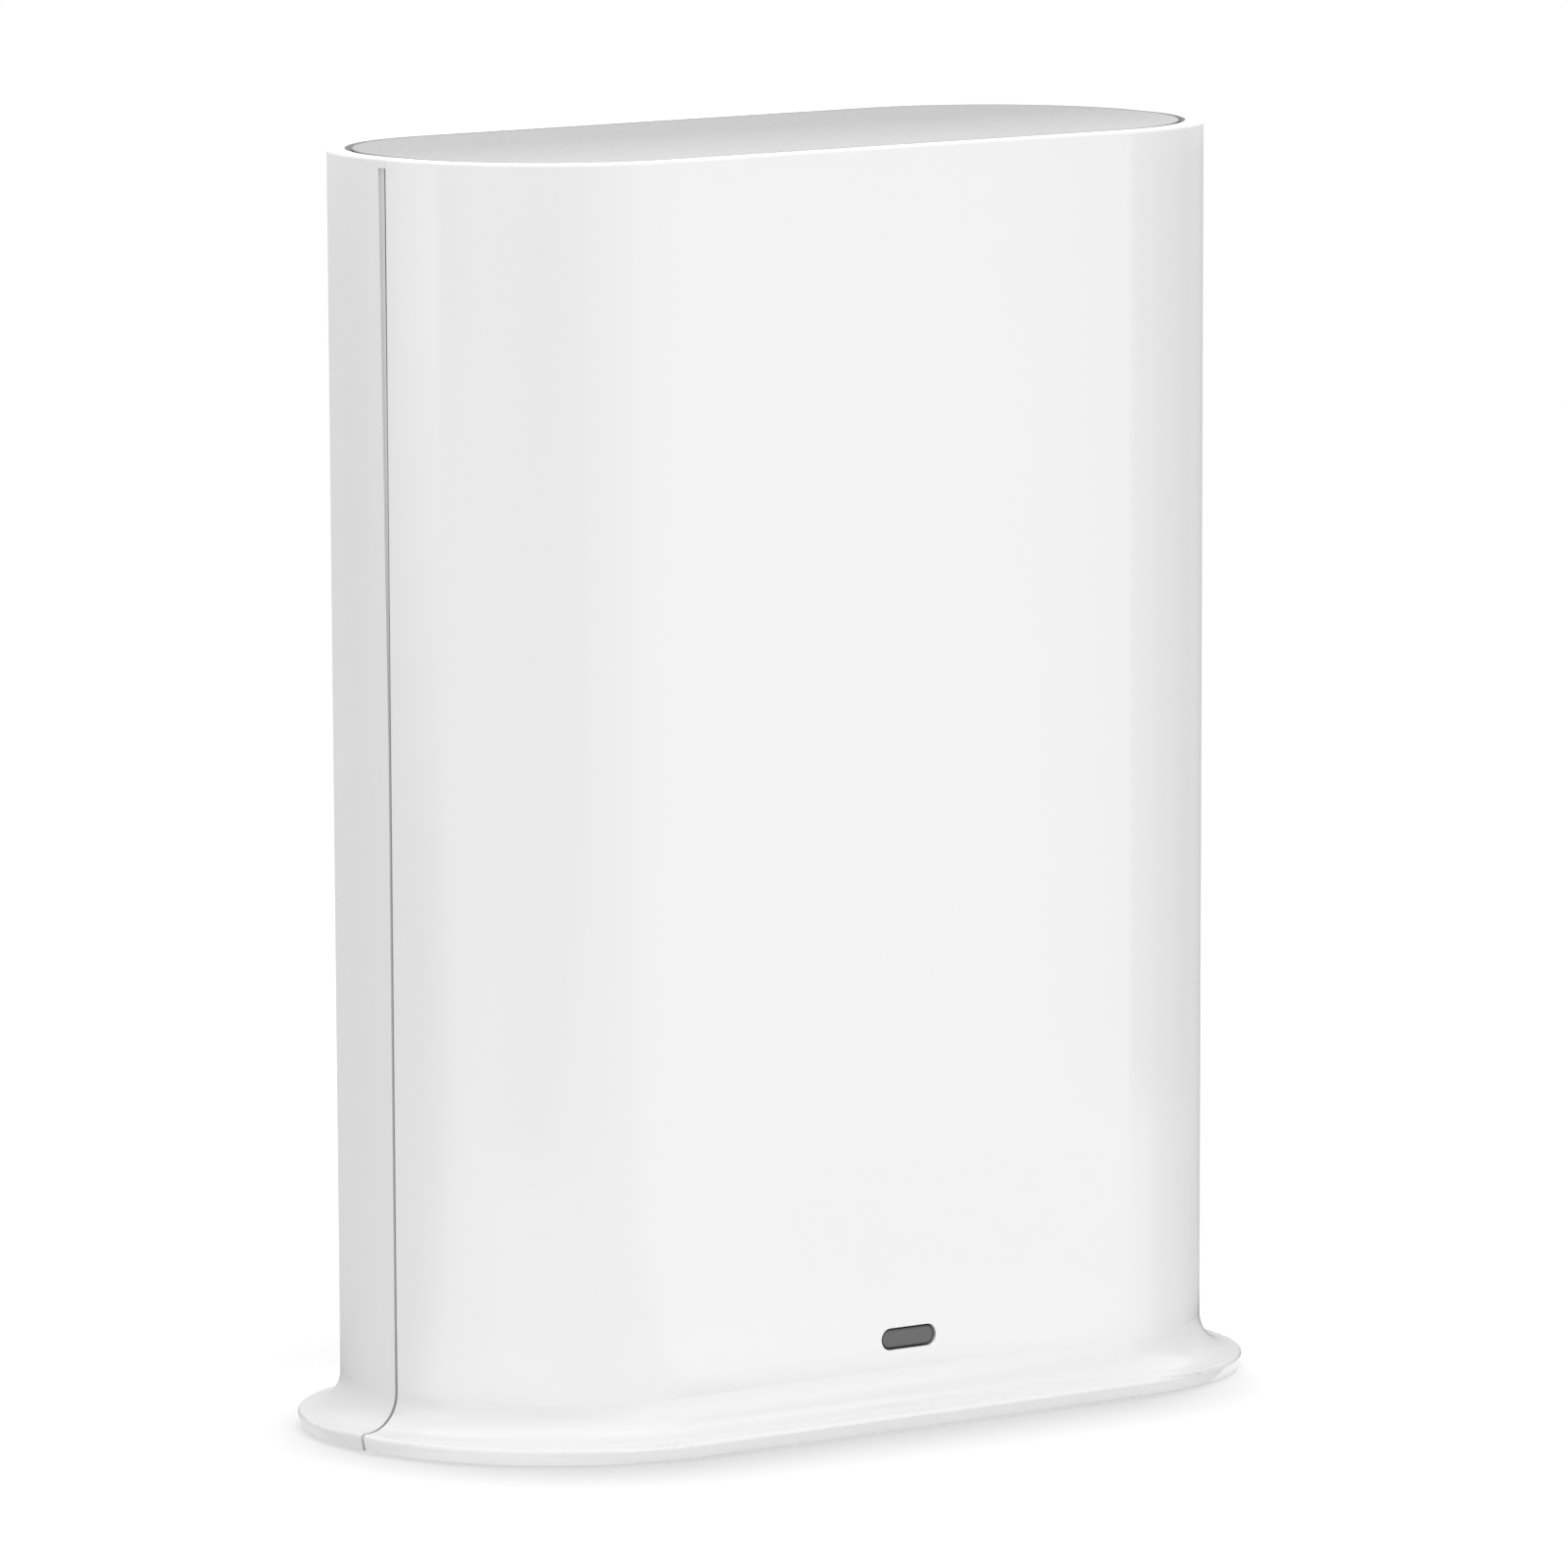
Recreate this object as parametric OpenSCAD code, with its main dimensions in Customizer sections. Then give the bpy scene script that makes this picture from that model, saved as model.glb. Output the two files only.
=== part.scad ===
// Stand-up base station for wireless cameras: two moulded half shells on a flared foot,
// an inset top panel, a status light low on the front and a row of sockets on the back.
// Millimetres, +Z up, front towards -Y, origin on the table under the middle of the case.

/* [Case] */
// Width of the upright body
body_w = 134; // [132:1:170]
// Depth of the upright body
body_d = 60; // [60:1:72]
// Height from the table to the rim
case_h = 174.5; // [170:0.5:210]
// Plan radius of the four corners
corner_r = 28; // [24:0.5:28]
// Wall thickness of the shells
wall = 2.5; // [2.4:0.1:3.2]
// How far the walls lean in from the rim down to the foot
wall_lean = 0.55; // [0:0.05:0.8]
// Radius along the outer edge of the rim
rim_round = 0.4; // [0.3:0.1:1.2]
// Gap at the seam between the two shells
seam_gap = 0.6; // [0.3:0.1:0.7]
// Reach of the lap lip across the seam
lap_reach = 1.4; // [1:0.1:1.6]
// Thickness of the lap lip
lap_t = 1.4; // [1:0.1:1.5]
// How far below the rim the lap lip stops
lap_drop = 22; // [10:1:40]
// Clearance round the lap lip
lap_clear = 0.15; // [0.1:0.05:0.25]
// Height of the rim where the seam is closed
rim_bridge = 1.3; // [1:0.1:2]
// Width of the shallow step along the rear shell's seam edge at its upper end
step_w = 1.05; // [0.5:0.05:1.3]
// Depth of that step
step_depth = 0.3; // [0.2:0.05:0.6]
// Length over which the step runs out downwards
step_l = 78; // [30:1:90]

/* [Foot] */
// Radius of the hollow sweep from the wall into the foot
foot_sweep = 5; // [4:0.1:7]
// Flat strip between the sweep and the rounded edge
foot_land = 0.2; // [0.1:0.1:2]
// Radius along the top edge of the foot
foot_edge = 0.6; // [0.4:0.1:1]
// Height of the upright side of the foot
foot_side = 1.7; // [1.6:0.1:3]
// How far that side leans in towards the table
foot_draft = 0.4; // [0.1:0.1:0.6]
// Height of the shells above the table
foot_clear = 0.3; // [0.3:0.1:1.5]

/* [Base plate] */
// Thickness of the base plate
plate_t = 1.4; // [1.2:0.1:1.6]
// Width of the lip of the shells round the plate
plate_lip = 1.8; // [1.2:0.1:2.4]
// Clearance between plate and lip
plate_gap = 0.2; // [0.1:0.05:0.4]
// Diameter of the rubber pads
pad_d = 12; // [10:0.5:16]
// Depth of the pad recess in the plate
pad_recess = 0.5; // [0.3:0.1:0.7]
// Clearance round a pad in its recess
pad_gap = 0.15; // [0.1:0.05:0.3]
// Sideways place of the base screws
base_x = 44; // [38:0.5:50]
// Front to back place of the base screws
base_y = 17; // [14:0.5:19]
// Width of a vent slot in the plate
plate_vent_w = 2.4; // [1.6:0.2:3]
// Length of a vent slot in the plate
plate_vent_l = 24; // [12:1:30]
// Spacing of the plate vents
plate_vent_pitch = 6; // [5:0.5:8]
// Number of plate vents
plate_vents = 9; // [3:2:11]

/* [Top panel] */
// Thickness of the top panel
panel_t = 1.6; // [1.2:0.1:2.4]
// Shadow gap between the panel and the front shell
panel_gap = 0.9; // [0.4:0.05:1.1]
// How much wider that gap is along the rear shell
rear_gap_extra = 0.1; // [0.1:0.05:0.6]
// Chamfer along the edge of the panel
panel_chamfer = 0.1; // [0.1:0.05:0.5]
// How far the panel lies below the rim
panel_inset = 0; // [0:0.05:0.6]
// Width of the ledge that carries the panel
ledge_w = 2; // [1.4:0.1:3]
// Thickness of that ledge
ledge_t = 1.6; // [1.2:0.1:2.4]
// Sideways place of the panel hooks
hook_x = 26; // [16:1:32]
// Width of a panel hook
hook_w = 7; // [4:0.5:10]
// Thickness of a hook leg
hook_t = 1.2; // [0.8:0.1:1.6]
// Reach of a hook under the ledge
hook_reach = 0.8; // [0.5:0.1:1.2]
// Clearance round a hook
hook_gap = 0.15; // [0.1:0.05:0.3]

/* [Status light] */
// Width of the light window
lens_w = 9.5; // [6:0.5:12]
// Height of the light window
lens_h = 3; // [2.4:0.1:4]
// Height of the window's centre above the table
lens_z = 11.8; // [11.8:0.1:18]
// Gap round the lens in the wall
lens_gap = 0.25; // [0.1:0.05:0.3]
// How far the lens lies behind the front face
lens_inset = 0.25; // [0.1:0.05:0.6]
// Width of the lens flange behind the wall
lens_flange = 1.2; // [0.8:0.1:1.6]
// Thickness of the lens flange
lens_flange_t = 1; // [0.8:0.1:1.6]
// Wall of the collar that locates the lens
collar_wall = 1; // [0.8:0.1:1.4]
// Depth of the collar
collar_depth = 4; // [3:0.5:8]

/* [Socket row] */
// Width of the socket window in the back
window_w = 72; // [66:1:74]
// Height of the socket window
window_h = 20; // [19:0.5:26]
// Corner radius of the socket window
window_r = 3; // [2:0.5:5]
// Height of the socket row above the table
port_z = 26; // [25:0.5:32]
// How far the socket panel lies in from the full depth at the rim
port_inset = 1.2; // [0.6:0.1:2]
// Thickness of the socket panel's inner flange
flange_t = 1.2; // [1:0.1:2]
// Width of the socket panel's inner flange
flange_w = 2; // [1.5:0.1:2]
// Clearance of the panel in the window
window_gap = 0.2; // [0.1:0.05:0.3]
// Clearance round each socket in the panel
socket_gap = 0.25; // [0.15:0.05:0.4]
// Height of the sockets above the circuit board
socket_h = 16.5; // [15:0.5:18]
// From one end of the window to the middle of the power socket
power_edge = 9; // [8:0.5:10]
// From the other end of the window to the middle of the sync button
sync_edge = 6.5; // [6:0.5:8]
// Spacing of the reset switch and the sync button
switch_pitch = 8.5; // [8:0.5:10]

/* [Network socket] */
// Width of the network socket
net_w = 16.2; // [15.5:0.1:17]
// Height of the network socket
net_h = 13.8; // [13.4:0.1:15]
// Thickness of its metal shield
net_sheet = 0.3; // [0.2:0.05:0.4]
// Clearance of the insert in its shield
net_gap = 0.1; // [0.05:0.05:0.2]
// Width of the plug cavity
plug_w = 11.9; // [11.7:0.1:12.2]
// Height of the plug cavity
plug_h = 7.2; // [7:0.1:7.6]
// Depth of the plug cavity
plug_depth = 12.5; // [11:0.5:13]
// Width of the first step for the plug's latch
latch_w1 = 6.2; // [6:0.1:6.6]
// Width of the second step for the plug's latch
latch_w2 = 3.6; // [3.3:0.1:4]
// Height of each latch step
latch_h = 1.3; // [1:0.1:1.4]
// Spacing of the eight contacts
contact_pitch = 1.02; // [0.95:0.01:1.1]
// Width of a contact wire
contact_w = 0.46; // [0.3:0.02:0.6]

/* [Data socket] */
// Width of the data shell
data_w = 13.2; // [13:0.1:13.6]
// Height of the data shell
data_h = 5.8; // [5.7:0.1:6.2]
// Sheet thickness of the data shell
data_sheet = 0.35; // [0.3:0.05:0.45]
// Thickness of the data tongue
tongue_t = 1.85; // [1.7:0.05:2]
// Width of the data tongue
tongue_w = 11.1; // [10.5:0.1:11.5]

/* [Power socket] */
// Width of the power socket
jack_w = 10; // [9:0.5:11]
// Height of the power socket
jack_h = 11; // [10:0.5:12]
// Bore of the power socket
jack_bore = 6.3; // [6:0.1:7]
// Depth of that bore
jack_depth = 10; // [8:0.5:11]
// Diameter of the centre pin
jack_pin = 2.1; // [1.9:0.1:2.6]

/* [Buttons] */
// Diameter of the sync button
button_d = 7.6; // [6:0.2:7.6]
// How far the sync button stands out of the panel
button_proud = 0.7; // [0.4:0.1:1]
// Running clearance of the button in the panel
button_gap = 0.15; // [0.1:0.05:0.3]
// Travel of the buttons
button_travel = 0.5; // [0.3:0.1:0.6]
// Diameter of the pin hole over the reset switch
reset_hole = 2.2; // [1.6:0.1:3]
// Side of a key switch
switch_w = 6.2; // [5.8:0.1:6.4]
// Height of a key switch body
switch_h = 3.8; // [3.4:0.1:4.4]
// Diameter of a switch plunger
plunger_d = 3.4; // [3:0.1:3.6]
// Running clearance of a plunger
plunger_gap = 0.08; // [0.05:0.01:0.1]
// Height of the sync switch with its plunger
sync_switch_h = 9.5; // [8:0.5:11]
// Height of the reset switch with its plunger
reset_switch_h = 11.5; // [10:0.5:12]

/* [Circuit board] */
// Width of the board
board_w = 100; // [96:1:104]
// Height of the board
board_h = 120; // [116:1:130]
// Thickness of the board
board_t = 1.6; // [1.2:0.1:2]
// Height of its lower edge above the table
board_z = 7; // [6:0.5:8]
// Sideways place of the board screws
stand_x = 42; // [38:0.5:46]
// Height of the lower board screws
stand_z0 = 48; // [46:0.5:52]
// Height of the upper board screws
stand_z1 = 119; // [112:0.5:120]
// Diameter of the standoffs
stand_d = 6.5; // [6:0.1:8]
// Height of the heat sink's centre
sink_z = 86; // [84:0.5:92]
// Width of the main shield can
can_w = 46; // [42:1:50]
// Height of the main shield can
can_h = 36; // [34:1:38]
// Depth of the main shield can
can_d = 3; // [2.6:0.1:3.6]
// Sheet thickness of the shield cans
can_sheet = 0.3; // [0.2:0.05:0.4]
// Side of the processor
cpu_w = 14; // [12:0.5:15]
// Thickness of the chips
cpu_t = 1.2; // [1:0.1:1.4]
// Length of the heat sink's fins
fin_l = 8; // [6:0.5:12]
// Thickness of a fin
fin_t = 1.2; // [1:0.1:1.6]
// Number of fins
fins = 9; // [5:1:11]

/* [Fasteners] */
// Head diameter of the base screws
base_head_d = 5.4; // [5:0.1:6]
// Head height of the base screws
base_head_h = 1.6; // [1.2:0.1:1.8]
// Shank diameter of the base screws
base_shank = 2.9; // [2.5:0.1:3.1]
// Shank length of the base screws
base_len = 9; // [8:0.5:10]
// Head diameter of the board screws
board_head_d = 5; // [4.6:0.1:5.4]
// Head height of the board screws
board_head_h = 1.5; // [1.2:0.1:1.8]
// Shank diameter of the board screws
board_shank = 2.5; // [2.2:0.1:2.8]
// Shank length of the board screws
board_len = 8; // [7:0.5:10]
// Clearance of a shank in its pilot hole
pilot_gap = 0.05; // [0.03:0.01:0.08]

/* [Antennas] */
// Length of a flat antenna
antenna_l = 28; // [20:1:30]
// Height of a flat antenna
antenna_h = 12; // [8:0.5:16]
// Thickness of a flat antenna
antenna_t = 0.4; // [0.3:0.05:0.6]
// Sideways place of each antenna's centre
antenna_x = 23; // [21:0.5:24]
// How far the antennas hang below the rim
antenna_drop = 26; // [22:1:32]
// Diameter of the antenna leads
lead_d = 1.2; // [0.8:0.1:1.4]

/* [Hidden] */
$fn = 96;

// Cuts run this far past the face that they open
past = 1;

// Plan: half lengths of the straight runs between the corner arcs
straight_x = body_w / 2 - corner_r;
straight_y = body_d / 2 - corner_r;

// Seam: the front shell ends with its corner arcs, the rear shell a gap behind it
front_edge = -straight_y;
rear_edge = front_edge + seam_gap;

// Levels of the foot and of the base plate
foot_out = foot_sweep + foot_land + foot_edge;
foot_side_top = foot_clear + foot_side;
foot_top = foot_side_top + foot_edge;
wall_start = foot_top + foot_sweep;
plate_top = foot_clear + plate_t;
lip_inner = foot_out - foot_draft - plate_lip;
plate_edge = lip_inner - wall_lean - plate_gap;
pad_top = foot_clear + pad_recess;

// How far the outer wall face lies in at the height z
lean_run = case_h - rim_round - wall_start;
function lean_at(z) = wall_lean * (case_h - rim_round - z) / lean_run;

// Screw wells of the base plate and the bosses that stand on them
well_gap = 0.3;
well_wall = 1.2;
well_floor = pad_top + base_head_h;
well_top = well_floor + well_wall;
well_d = base_head_d + 2 * (well_gap + well_wall);
boss_wall = 2;
boss_d = base_shank + 2 * boss_wall;
boss_top = well_top + base_len + boss_wall;
screw_room = 1;
rib_t = 1.6;

// Upright ribs inside the front wall
stiff_t = 1.2;
stiff_depth = 3;
stiff_x = [-39, -13, 13, 39];
stiff_z0 = 26;
stiff_drop = 40;
stiff_z1 = case_h - stiff_drop;

// Levels under the rim
panel_top = case_h - panel_inset;
ledge_top = panel_top - panel_t;
ledge_bottom = ledge_top - ledge_t;
panel_edge = -wall - panel_gap;
panel_band = 3;

// Front to back: wall faces, socket panel, board
front_in = wall - body_d / 2;
back_in = body_d / 2 - wall;
port_face = body_d / 2 - port_inset;
panel_back = back_in - flange_t;
board_rear = port_face - socket_h;
board_front = board_rear - board_t;
notch_gap = 1;
notch_x = base_x - boss_d / 2 - notch_gap;
notch_z = boss_top + notch_gap;

// Socket row: the network and data sockets share out the room between power and reset
power_x = power_edge - window_w / 2;
sync_x = window_w / 2 - sync_edge;
reset_x = sync_x - switch_pitch;
row_start = power_x + jack_w / 2;
row_end = reset_x - switch_w / 2;
row_space = (row_end - row_start - net_w - data_w) / 3;
network_x = row_start + row_space + net_w / 2;
data_x = row_end - row_space - data_w / 2;

// Status light
lens_face = lens_inset + lean_at(lens_z) - body_d / 2;
lens_back = front_in + lens_flange_t;
led_t = 0.8;
led_w = 3.2;
pipe_gap = 0.3;
pipe_back = board_front - led_t - pipe_gap;
pipe_foot_t = 2;
pipe_leg_w = 2.4;
pipe_foot_w = lens_w + 2 * pipe_leg_w;
peg_d = 1.6;
peg_gap = 0.05;
peg_x = pipe_foot_w / 2 - pipe_leg_w / 2;

// Back vents
vent_w = 2.2;
vent_l = 20;
vent_pitch = 5.5;
vents = 13;
vent_drop = 30;
vent_z = case_h - vent_drop;

// Network socket
net_in_w = net_w - 2 * (net_sheet + net_gap);
net_in_h = net_h - 2 * (net_sheet + net_gap);
net_step = 0.4;
plug_z = port_z + latch_h;
contacts = 8;
comb_gap = 0.2;
comb_w = contacts * contact_pitch + 2 * comb_gap;
comb_h = 1;
comb_edge = 1;
contact_t = 0.3;
contact_drop = 1.6;
contact_seat = 3;
contact_tail = 3;
net_window = 3;

// Data socket
data_in_w = data_w - 2 * data_sheet;
data_in_h = data_h - 2 * data_sheet;
data_base = 5;
data_gap = 0.1;
tongue_gap = 0.7;
tongue_inset = 0.8;
tongue_z = port_z + data_in_h / 2 - tongue_gap - tongue_t;
data_pads = 4;
data_pad_w = 1.2;
data_pad_t = 0.2;
data_pad_pitch = 2.4;
data_pad_inset = 2;
finger_w = 2.2;
finger_l = 4;
finger_inset = 5;

// Power socket
jack_floor = port_face - jack_depth;
pin_inset = 1;
spring_t = 0.3;
spring_w = 2.4;
spring_gap = 0.1;
spring_room = 0.9;
spring_seat = 2;
spring_mouth = 1.5;
spring_nose = 4;

// Buttons
button_flange = 1.1;
button_flange_t = 1;
button_rest = 0.3;
button_stem = 3;
button_dish = 0.25;
plunger_root = 1.6;

// Circuit parts on the front of the board
can_front = board_front - can_d;
sink_base = 2;
sink_front = can_front - sink_base - fin_l;
radio_x = -22;
radio_z = 52;
radio_w = 26;
radio_h = 20;
radio_d = 2.4;
memory_w = 9;
memory_gap = 2;
memory_t = 1;
transformer_x = 3;
transformer_z = 44;
transformer_w = 16;
transformer_h = 10;
transformer_d = 6;
coil_x = -34;
coil_z = 22;
coil_w = 9;
coil_d = 4.5;
capacitor_x = 24;
capacitor_z = 60;
capacitor_pitch = 10;
capacitor_d = 8;
capacitor_l = 10;

// Antennas and their leads
antenna_z = case_h - antenna_drop;
feed_w = 3;
feed_t = 1.4;
antenna_plug_w = 3;
antenna_plug_t = 1.3;
antenna_plug_x = 34;
antenna_plug_z = 108;

// Plane outlines

// Quarter of a disc in the first quadrant
module quarter_disc(r) {
    intersection() {
        circle(r);
        square(r);
    }
}

// Rectangle with round corners, centred
module round_rect(w, h, r) {
    square([w - 2 * r, h], center = true);
    square([w, h - 2 * r], center = true);
    for (i = [0 : 3])
        translate([(i == 0 || i == 3 ? 1 : -1) * (w / 2 - r), (i < 2 ? 1 : -1) * (h / 2 - r)])
            rotate(90 * i)
                quarter_disc(r);
}

// Slot with half-round ends, long way across
module slot(w, h) {
    square([w - h, h], center = true);
    for (turn = [0, 180])
        rotate(turn)
            translate([w / 2 - h / 2, 0])
                intersection() {
                    circle(h / 2);
                    translate([0, -h / 2])
                        square([h / 2, h]);
                }
}

// Outline of the body, grown outwards by grow
module plan(grow) {
    round_rect(body_w + 2 * grow, body_d + 2 * grow, corner_r + grow);
}

// Sweeps

// Extrudes a front view outline from y0 to y1
module along_y(y0, y1) {
    translate([0, y1, 0])
        rotate([90, 0, 0])
            linear_extrude(y1 - y0)
                children();
}

// Extrudes a plan outline from z0 to z1
module along_z(z0, z1) {
    translate([0, 0, z0])
        linear_extrude(z1 - z0)
            children();
}

// Carries a section, with x outwards from the body's outline, round the back and its corners,
// then straight on along both ends
module round_back(straight) {
    translate([-straight_x, body_d / 2, 0])
        rotate([90, 0, 90])
            linear_extrude(2 * straight_x)
                children();
    for (side = [0, 1])
        mirror([side, 0, 0]) {
            translate([straight_x, straight_y, 0])
                rotate_extrude(angle = 90)
                    translate([corner_r, 0])
                        children();
            if (straight > 0)
                translate([body_w / 2, straight_y, 0])
                    rotate([90, 0, 0])
                        linear_extrude(straight)
                            children();
        }
}

// Section of a shell: foot with its hollow sweep, leaning wall, round rim and panel ledge.
// The rim is thinner by rim_cut on its inside, above the ledge.
module shell_section(rim_cut) {
    translate([-wall_lean, 0])
        foot_section();
    polygon([
        [-wall, wall_start],
        [-wall_lean, wall_start],
        [0, case_h - rim_round],
        [-rim_round, case_h - rim_round],
        [-rim_round, case_h],
        [rim_cut - wall, case_h],
        [rim_cut - wall, ledge_top],
        [-wall, ledge_top]
    ]);
    translate([-rim_round, case_h - rim_round])
        quarter_disc(rim_round);
    translate([-wall - ledge_w, ledge_bottom])
        square([ledge_w, ledge_t]);
}

// Section of the foot, with x outwards from the lower end of the wall
module foot_section() {
    difference() {
        translate([wall_lean - wall, foot_clear])
            square([wall - wall_lean + foot_sweep, wall_start - foot_clear]);
        translate([foot_sweep, wall_start])
            circle(foot_sweep);
        rebate();
    }
    difference() {
        foot_rim();
        rebate();
    }
    translate([foot_out - foot_edge, foot_side_top])
        quarter_disc(foot_edge);
}

// Outer edge of the foot below its rounding
module foot_rim() {
    polygon([
        [foot_sweep, foot_clear],
        [foot_out - foot_draft, foot_clear],
        [foot_out, foot_side_top],
        [foot_out - foot_edge, foot_side_top],
        [foot_out - foot_edge, foot_top],
        [foot_sweep, foot_top]
    ]);
}

// Room under the foot for the base plate
module rebate() {
    translate([-wall - past, foot_clear - past])
        square([wall + past + lip_inner, plate_t + past]);
}

// Places of the four base screws and of the four board screws
module at_base_screws(sides) {
    for (x = [-base_x, base_x], y = sides)
        translate([x, y * base_y, 0])
            children();
}

module at_board_screws() {
    for (x = [-stand_x, stand_x], z = [stand_z0, stand_z1])
        translate([x, 0, z])
            children();
}

// Boss for a base screw with a rib that ties it to the wall on its side
module base_bosses(side) {
    intersection() {
        along_z(well_top, boss_top)
            plan(-wall / 2);
        at_base_screws([side]) {
            translate([0, 0, well_top])
                cylinder(d = boss_d, h = boss_top - well_top);
            translate([-rib_t / 2, side > 0 ? 0 : -body_d, well_top])
                cube([rib_t, body_d, boss_top - well_top]);
        }
    }
}

module base_pilots(side) {
    at_base_screws([side])
        translate([0, 0, well_top - past])
            cylinder(d = base_shank + 2 * pilot_gap, h = base_len + past);
}

// Lip that laps the seam inside the wall, and the room for it
module lap(reach, grow) {
    for (side = [0, 1])
        mirror([side, 0, 0])
            translate([body_w / 2 - wall - (grow > 0 ? past : 0), front_edge - reach - grow, boss_top - grow])
                cube([lap_t + grow + (grow > 0 ? past : 0), reach + grow + 2 * seam_gap,
                    case_h - lap_drop - boss_top + 2 * grow]);
}

// Stretch of the rim that closes the seam at both ends
module rim_bridges() {
    for (side = [0, 1])
        mirror([side, 0, 0])
            translate([body_w / 2, rear_edge + past, 0])
                rotate([90, 0, 0])
                    linear_extrude(seam_gap + past)
                        intersection() {
                            shell_section(rear_gap_extra);
                            translate([-wall, case_h - rim_bridge])
                                square([wall, rim_bridge]);
                        }
}

// Shallow step in the outer face along the rear shell's seam edge, which runs out downwards
module seam_steps() {
    step_foot = case_h - rim_bridge - step_l;
    for (side = [0, 1])
        mirror([side, 0, 0])
            translate([body_w / 2 - lean_at(step_foot), rear_edge, step_foot])
                rotate([0, atan(wall_lean / lean_run), 0])
                    translate([-step_depth, 0, 0])
                        rotate([90, 0, 90])
                            linear_extrude(step_depth + past)
                                polygon([[-past, 0], [0, 0], [step_w, step_l], [-past, step_l]]);
}

// Case

module front_shell() {
    color("white")
        difference() {
            union() {
                mirror([0, 1, 0])
                    round_back(0)
                        shell_section(0);
                base_bosses(-1);
                for (x = stiff_x)
                    translate([x - stiff_t / 2, front_in - wall / 2, stiff_z0])
                        cube([stiff_t, wall / 2 + stiff_depth, stiff_z1 - stiff_z0]);
                along_y(front_in - wall / 2, front_in + collar_depth)
                    translate([0, lens_z])
                        slot(lens_w + 2 * (lens_flange + lens_gap + collar_wall),
                            lens_h + 2 * (lens_flange + lens_gap + collar_wall));
            }
            base_pilots(-1);
            lap(lap_reach, lap_clear);
            along_y(-body_d, front_in + collar_depth + past)
                translate([0, lens_z])
                    slot(lens_w, lens_h);
            along_y(front_in, front_in + collar_depth + past)
                translate([0, lens_z])
                    slot(lens_w + 2 * (lens_flange + lens_gap),
                        lens_h + 2 * (lens_flange + lens_gap));
        }
}

module rear_shell() {
    color("whitesmoke")
        difference() {
            union() {
                difference() {
                    round_back(straight_y - rear_edge)
                        shell_section(rear_gap_extra);
                    seam_steps();
                }
                rim_bridges();
                base_bosses(1);
                lap(lap_reach, 0);
                intersection() {
                    along_z(0, case_h)
                        plan(-wall / 2);
                    at_board_screws()
                        along_y(board_rear, body_d)
                            circle(d = stand_d);
                }
            }
            base_pilots(1);
            at_board_screws()
                along_y(board_rear - past, board_rear + board_len)
                    circle(d = board_shank + 2 * pilot_gap);
            along_y(back_in - past, body_d)
                translate([0, port_z])
                    round_rect(window_w, window_h, window_r);
            along_y(back_in - past, body_d)
                for (i = [0 : vents - 1])
                    translate([(i - (vents - 1) / 2) * vent_pitch, vent_z])
                        rotate(90)
                            slot(vent_l, vent_w);
        }
}

module top_panel() {
    hook_y = body_d / 2 - wall - ledge_w - hook_gap;
    color("silver") {
        along_z(ledge_top, panel_top)
            plan(panel_edge - panel_band / 2);
        for (side = [0, 1])
            mirror([0, side, 0])
                round_back(straight_y)
                    polygon([
                        [panel_edge - panel_band, ledge_top],
                        [panel_edge, ledge_top],
                        [panel_edge, panel_top - panel_chamfer],
                        [panel_edge - panel_chamfer, panel_top],
                        [panel_edge - panel_band, panel_top]
                    ]);
        for (x = [-hook_x, hook_x], side = [0, 1])
            mirror([0, side, 0])
                translate([x - hook_w / 2, hook_y, 0])
                    rotate([90, 0, 90])
                        linear_extrude(hook_w)
                            polygon([
                                [-hook_t, ledge_top],
                                [-hook_t, ledge_bottom - hook_gap - 2 * hook_reach],
                                [0, ledge_bottom - hook_gap - 2 * hook_reach],
                                [hook_reach, ledge_bottom - hook_gap - hook_reach],
                                [hook_reach, ledge_bottom - hook_gap],
                                [0, ledge_bottom - hook_gap],
                                [0, ledge_top]
                            ]);
    }
}

module base_plate() {
    color("dimgray")
        difference() {
            union() {
                along_z(foot_clear, plate_top)
                    plan(plate_edge);
                at_base_screws([-1, 1])
                    translate([0, 0, plate_top])
                        cylinder(d = well_d, h = well_top - plate_top);
            }
            at_base_screws([-1, 1]) {
                translate([0, 0, foot_clear - past])
                    cylinder(d = pad_d + 2 * pad_gap, h = pad_recess + past);
                translate([0, 0, foot_clear - past])
                    cylinder(d = base_head_d + 2 * well_gap, h = well_floor - foot_clear + past);
                translate([0, 0, foot_clear])
                    cylinder(d = base_shank + 2 * well_gap, h = well_top);
            }
            along_z(foot_clear - past, plate_top + past)
                for (i = [0 : plate_vents - 1])
                    translate([(i - (plate_vents - 1) / 2) * plate_vent_pitch, 0])
                        rotate(90)
                            slot(plate_vent_l, plate_vent_w);
        }
}

module rubber_feet() {
    pad_bevel = foot_clear / 2;
    color("dimgray")
        at_base_screws([-1, 1]) {
            cylinder(d1 = pad_d - 2 * pad_bevel, d2 = pad_d, h = pad_bevel);
            translate([0, 0, pad_bevel])
                cylinder(d = pad_d, h = pad_top - pad_bevel);
        }
}

// Pan head screw, head below z = 0 and shank above, with a cross recess
module screw(head_d, head_h, shank_d, length) {
    slot_w = head_d / 6;
    difference() {
        translate([0, 0, -head_h])
            cylinder(d = head_d, h = head_h);
        for (turn = [0, 90])
            rotate(turn)
                translate([-head_d / 3, -slot_w / 2, -head_h - past])
                    cube([head_d * 2 / 3, slot_w, head_h / 2 + past]);
    }
    cylinder(d = shank_d, h = length);
}

module base_screws() {
    color("gainsboro")
        at_base_screws([-1, 1])
            translate([0, 0, well_floor])
                screw(base_head_d, base_head_h, base_shank, well_wall + base_len - screw_room);
}

// Status light

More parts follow.
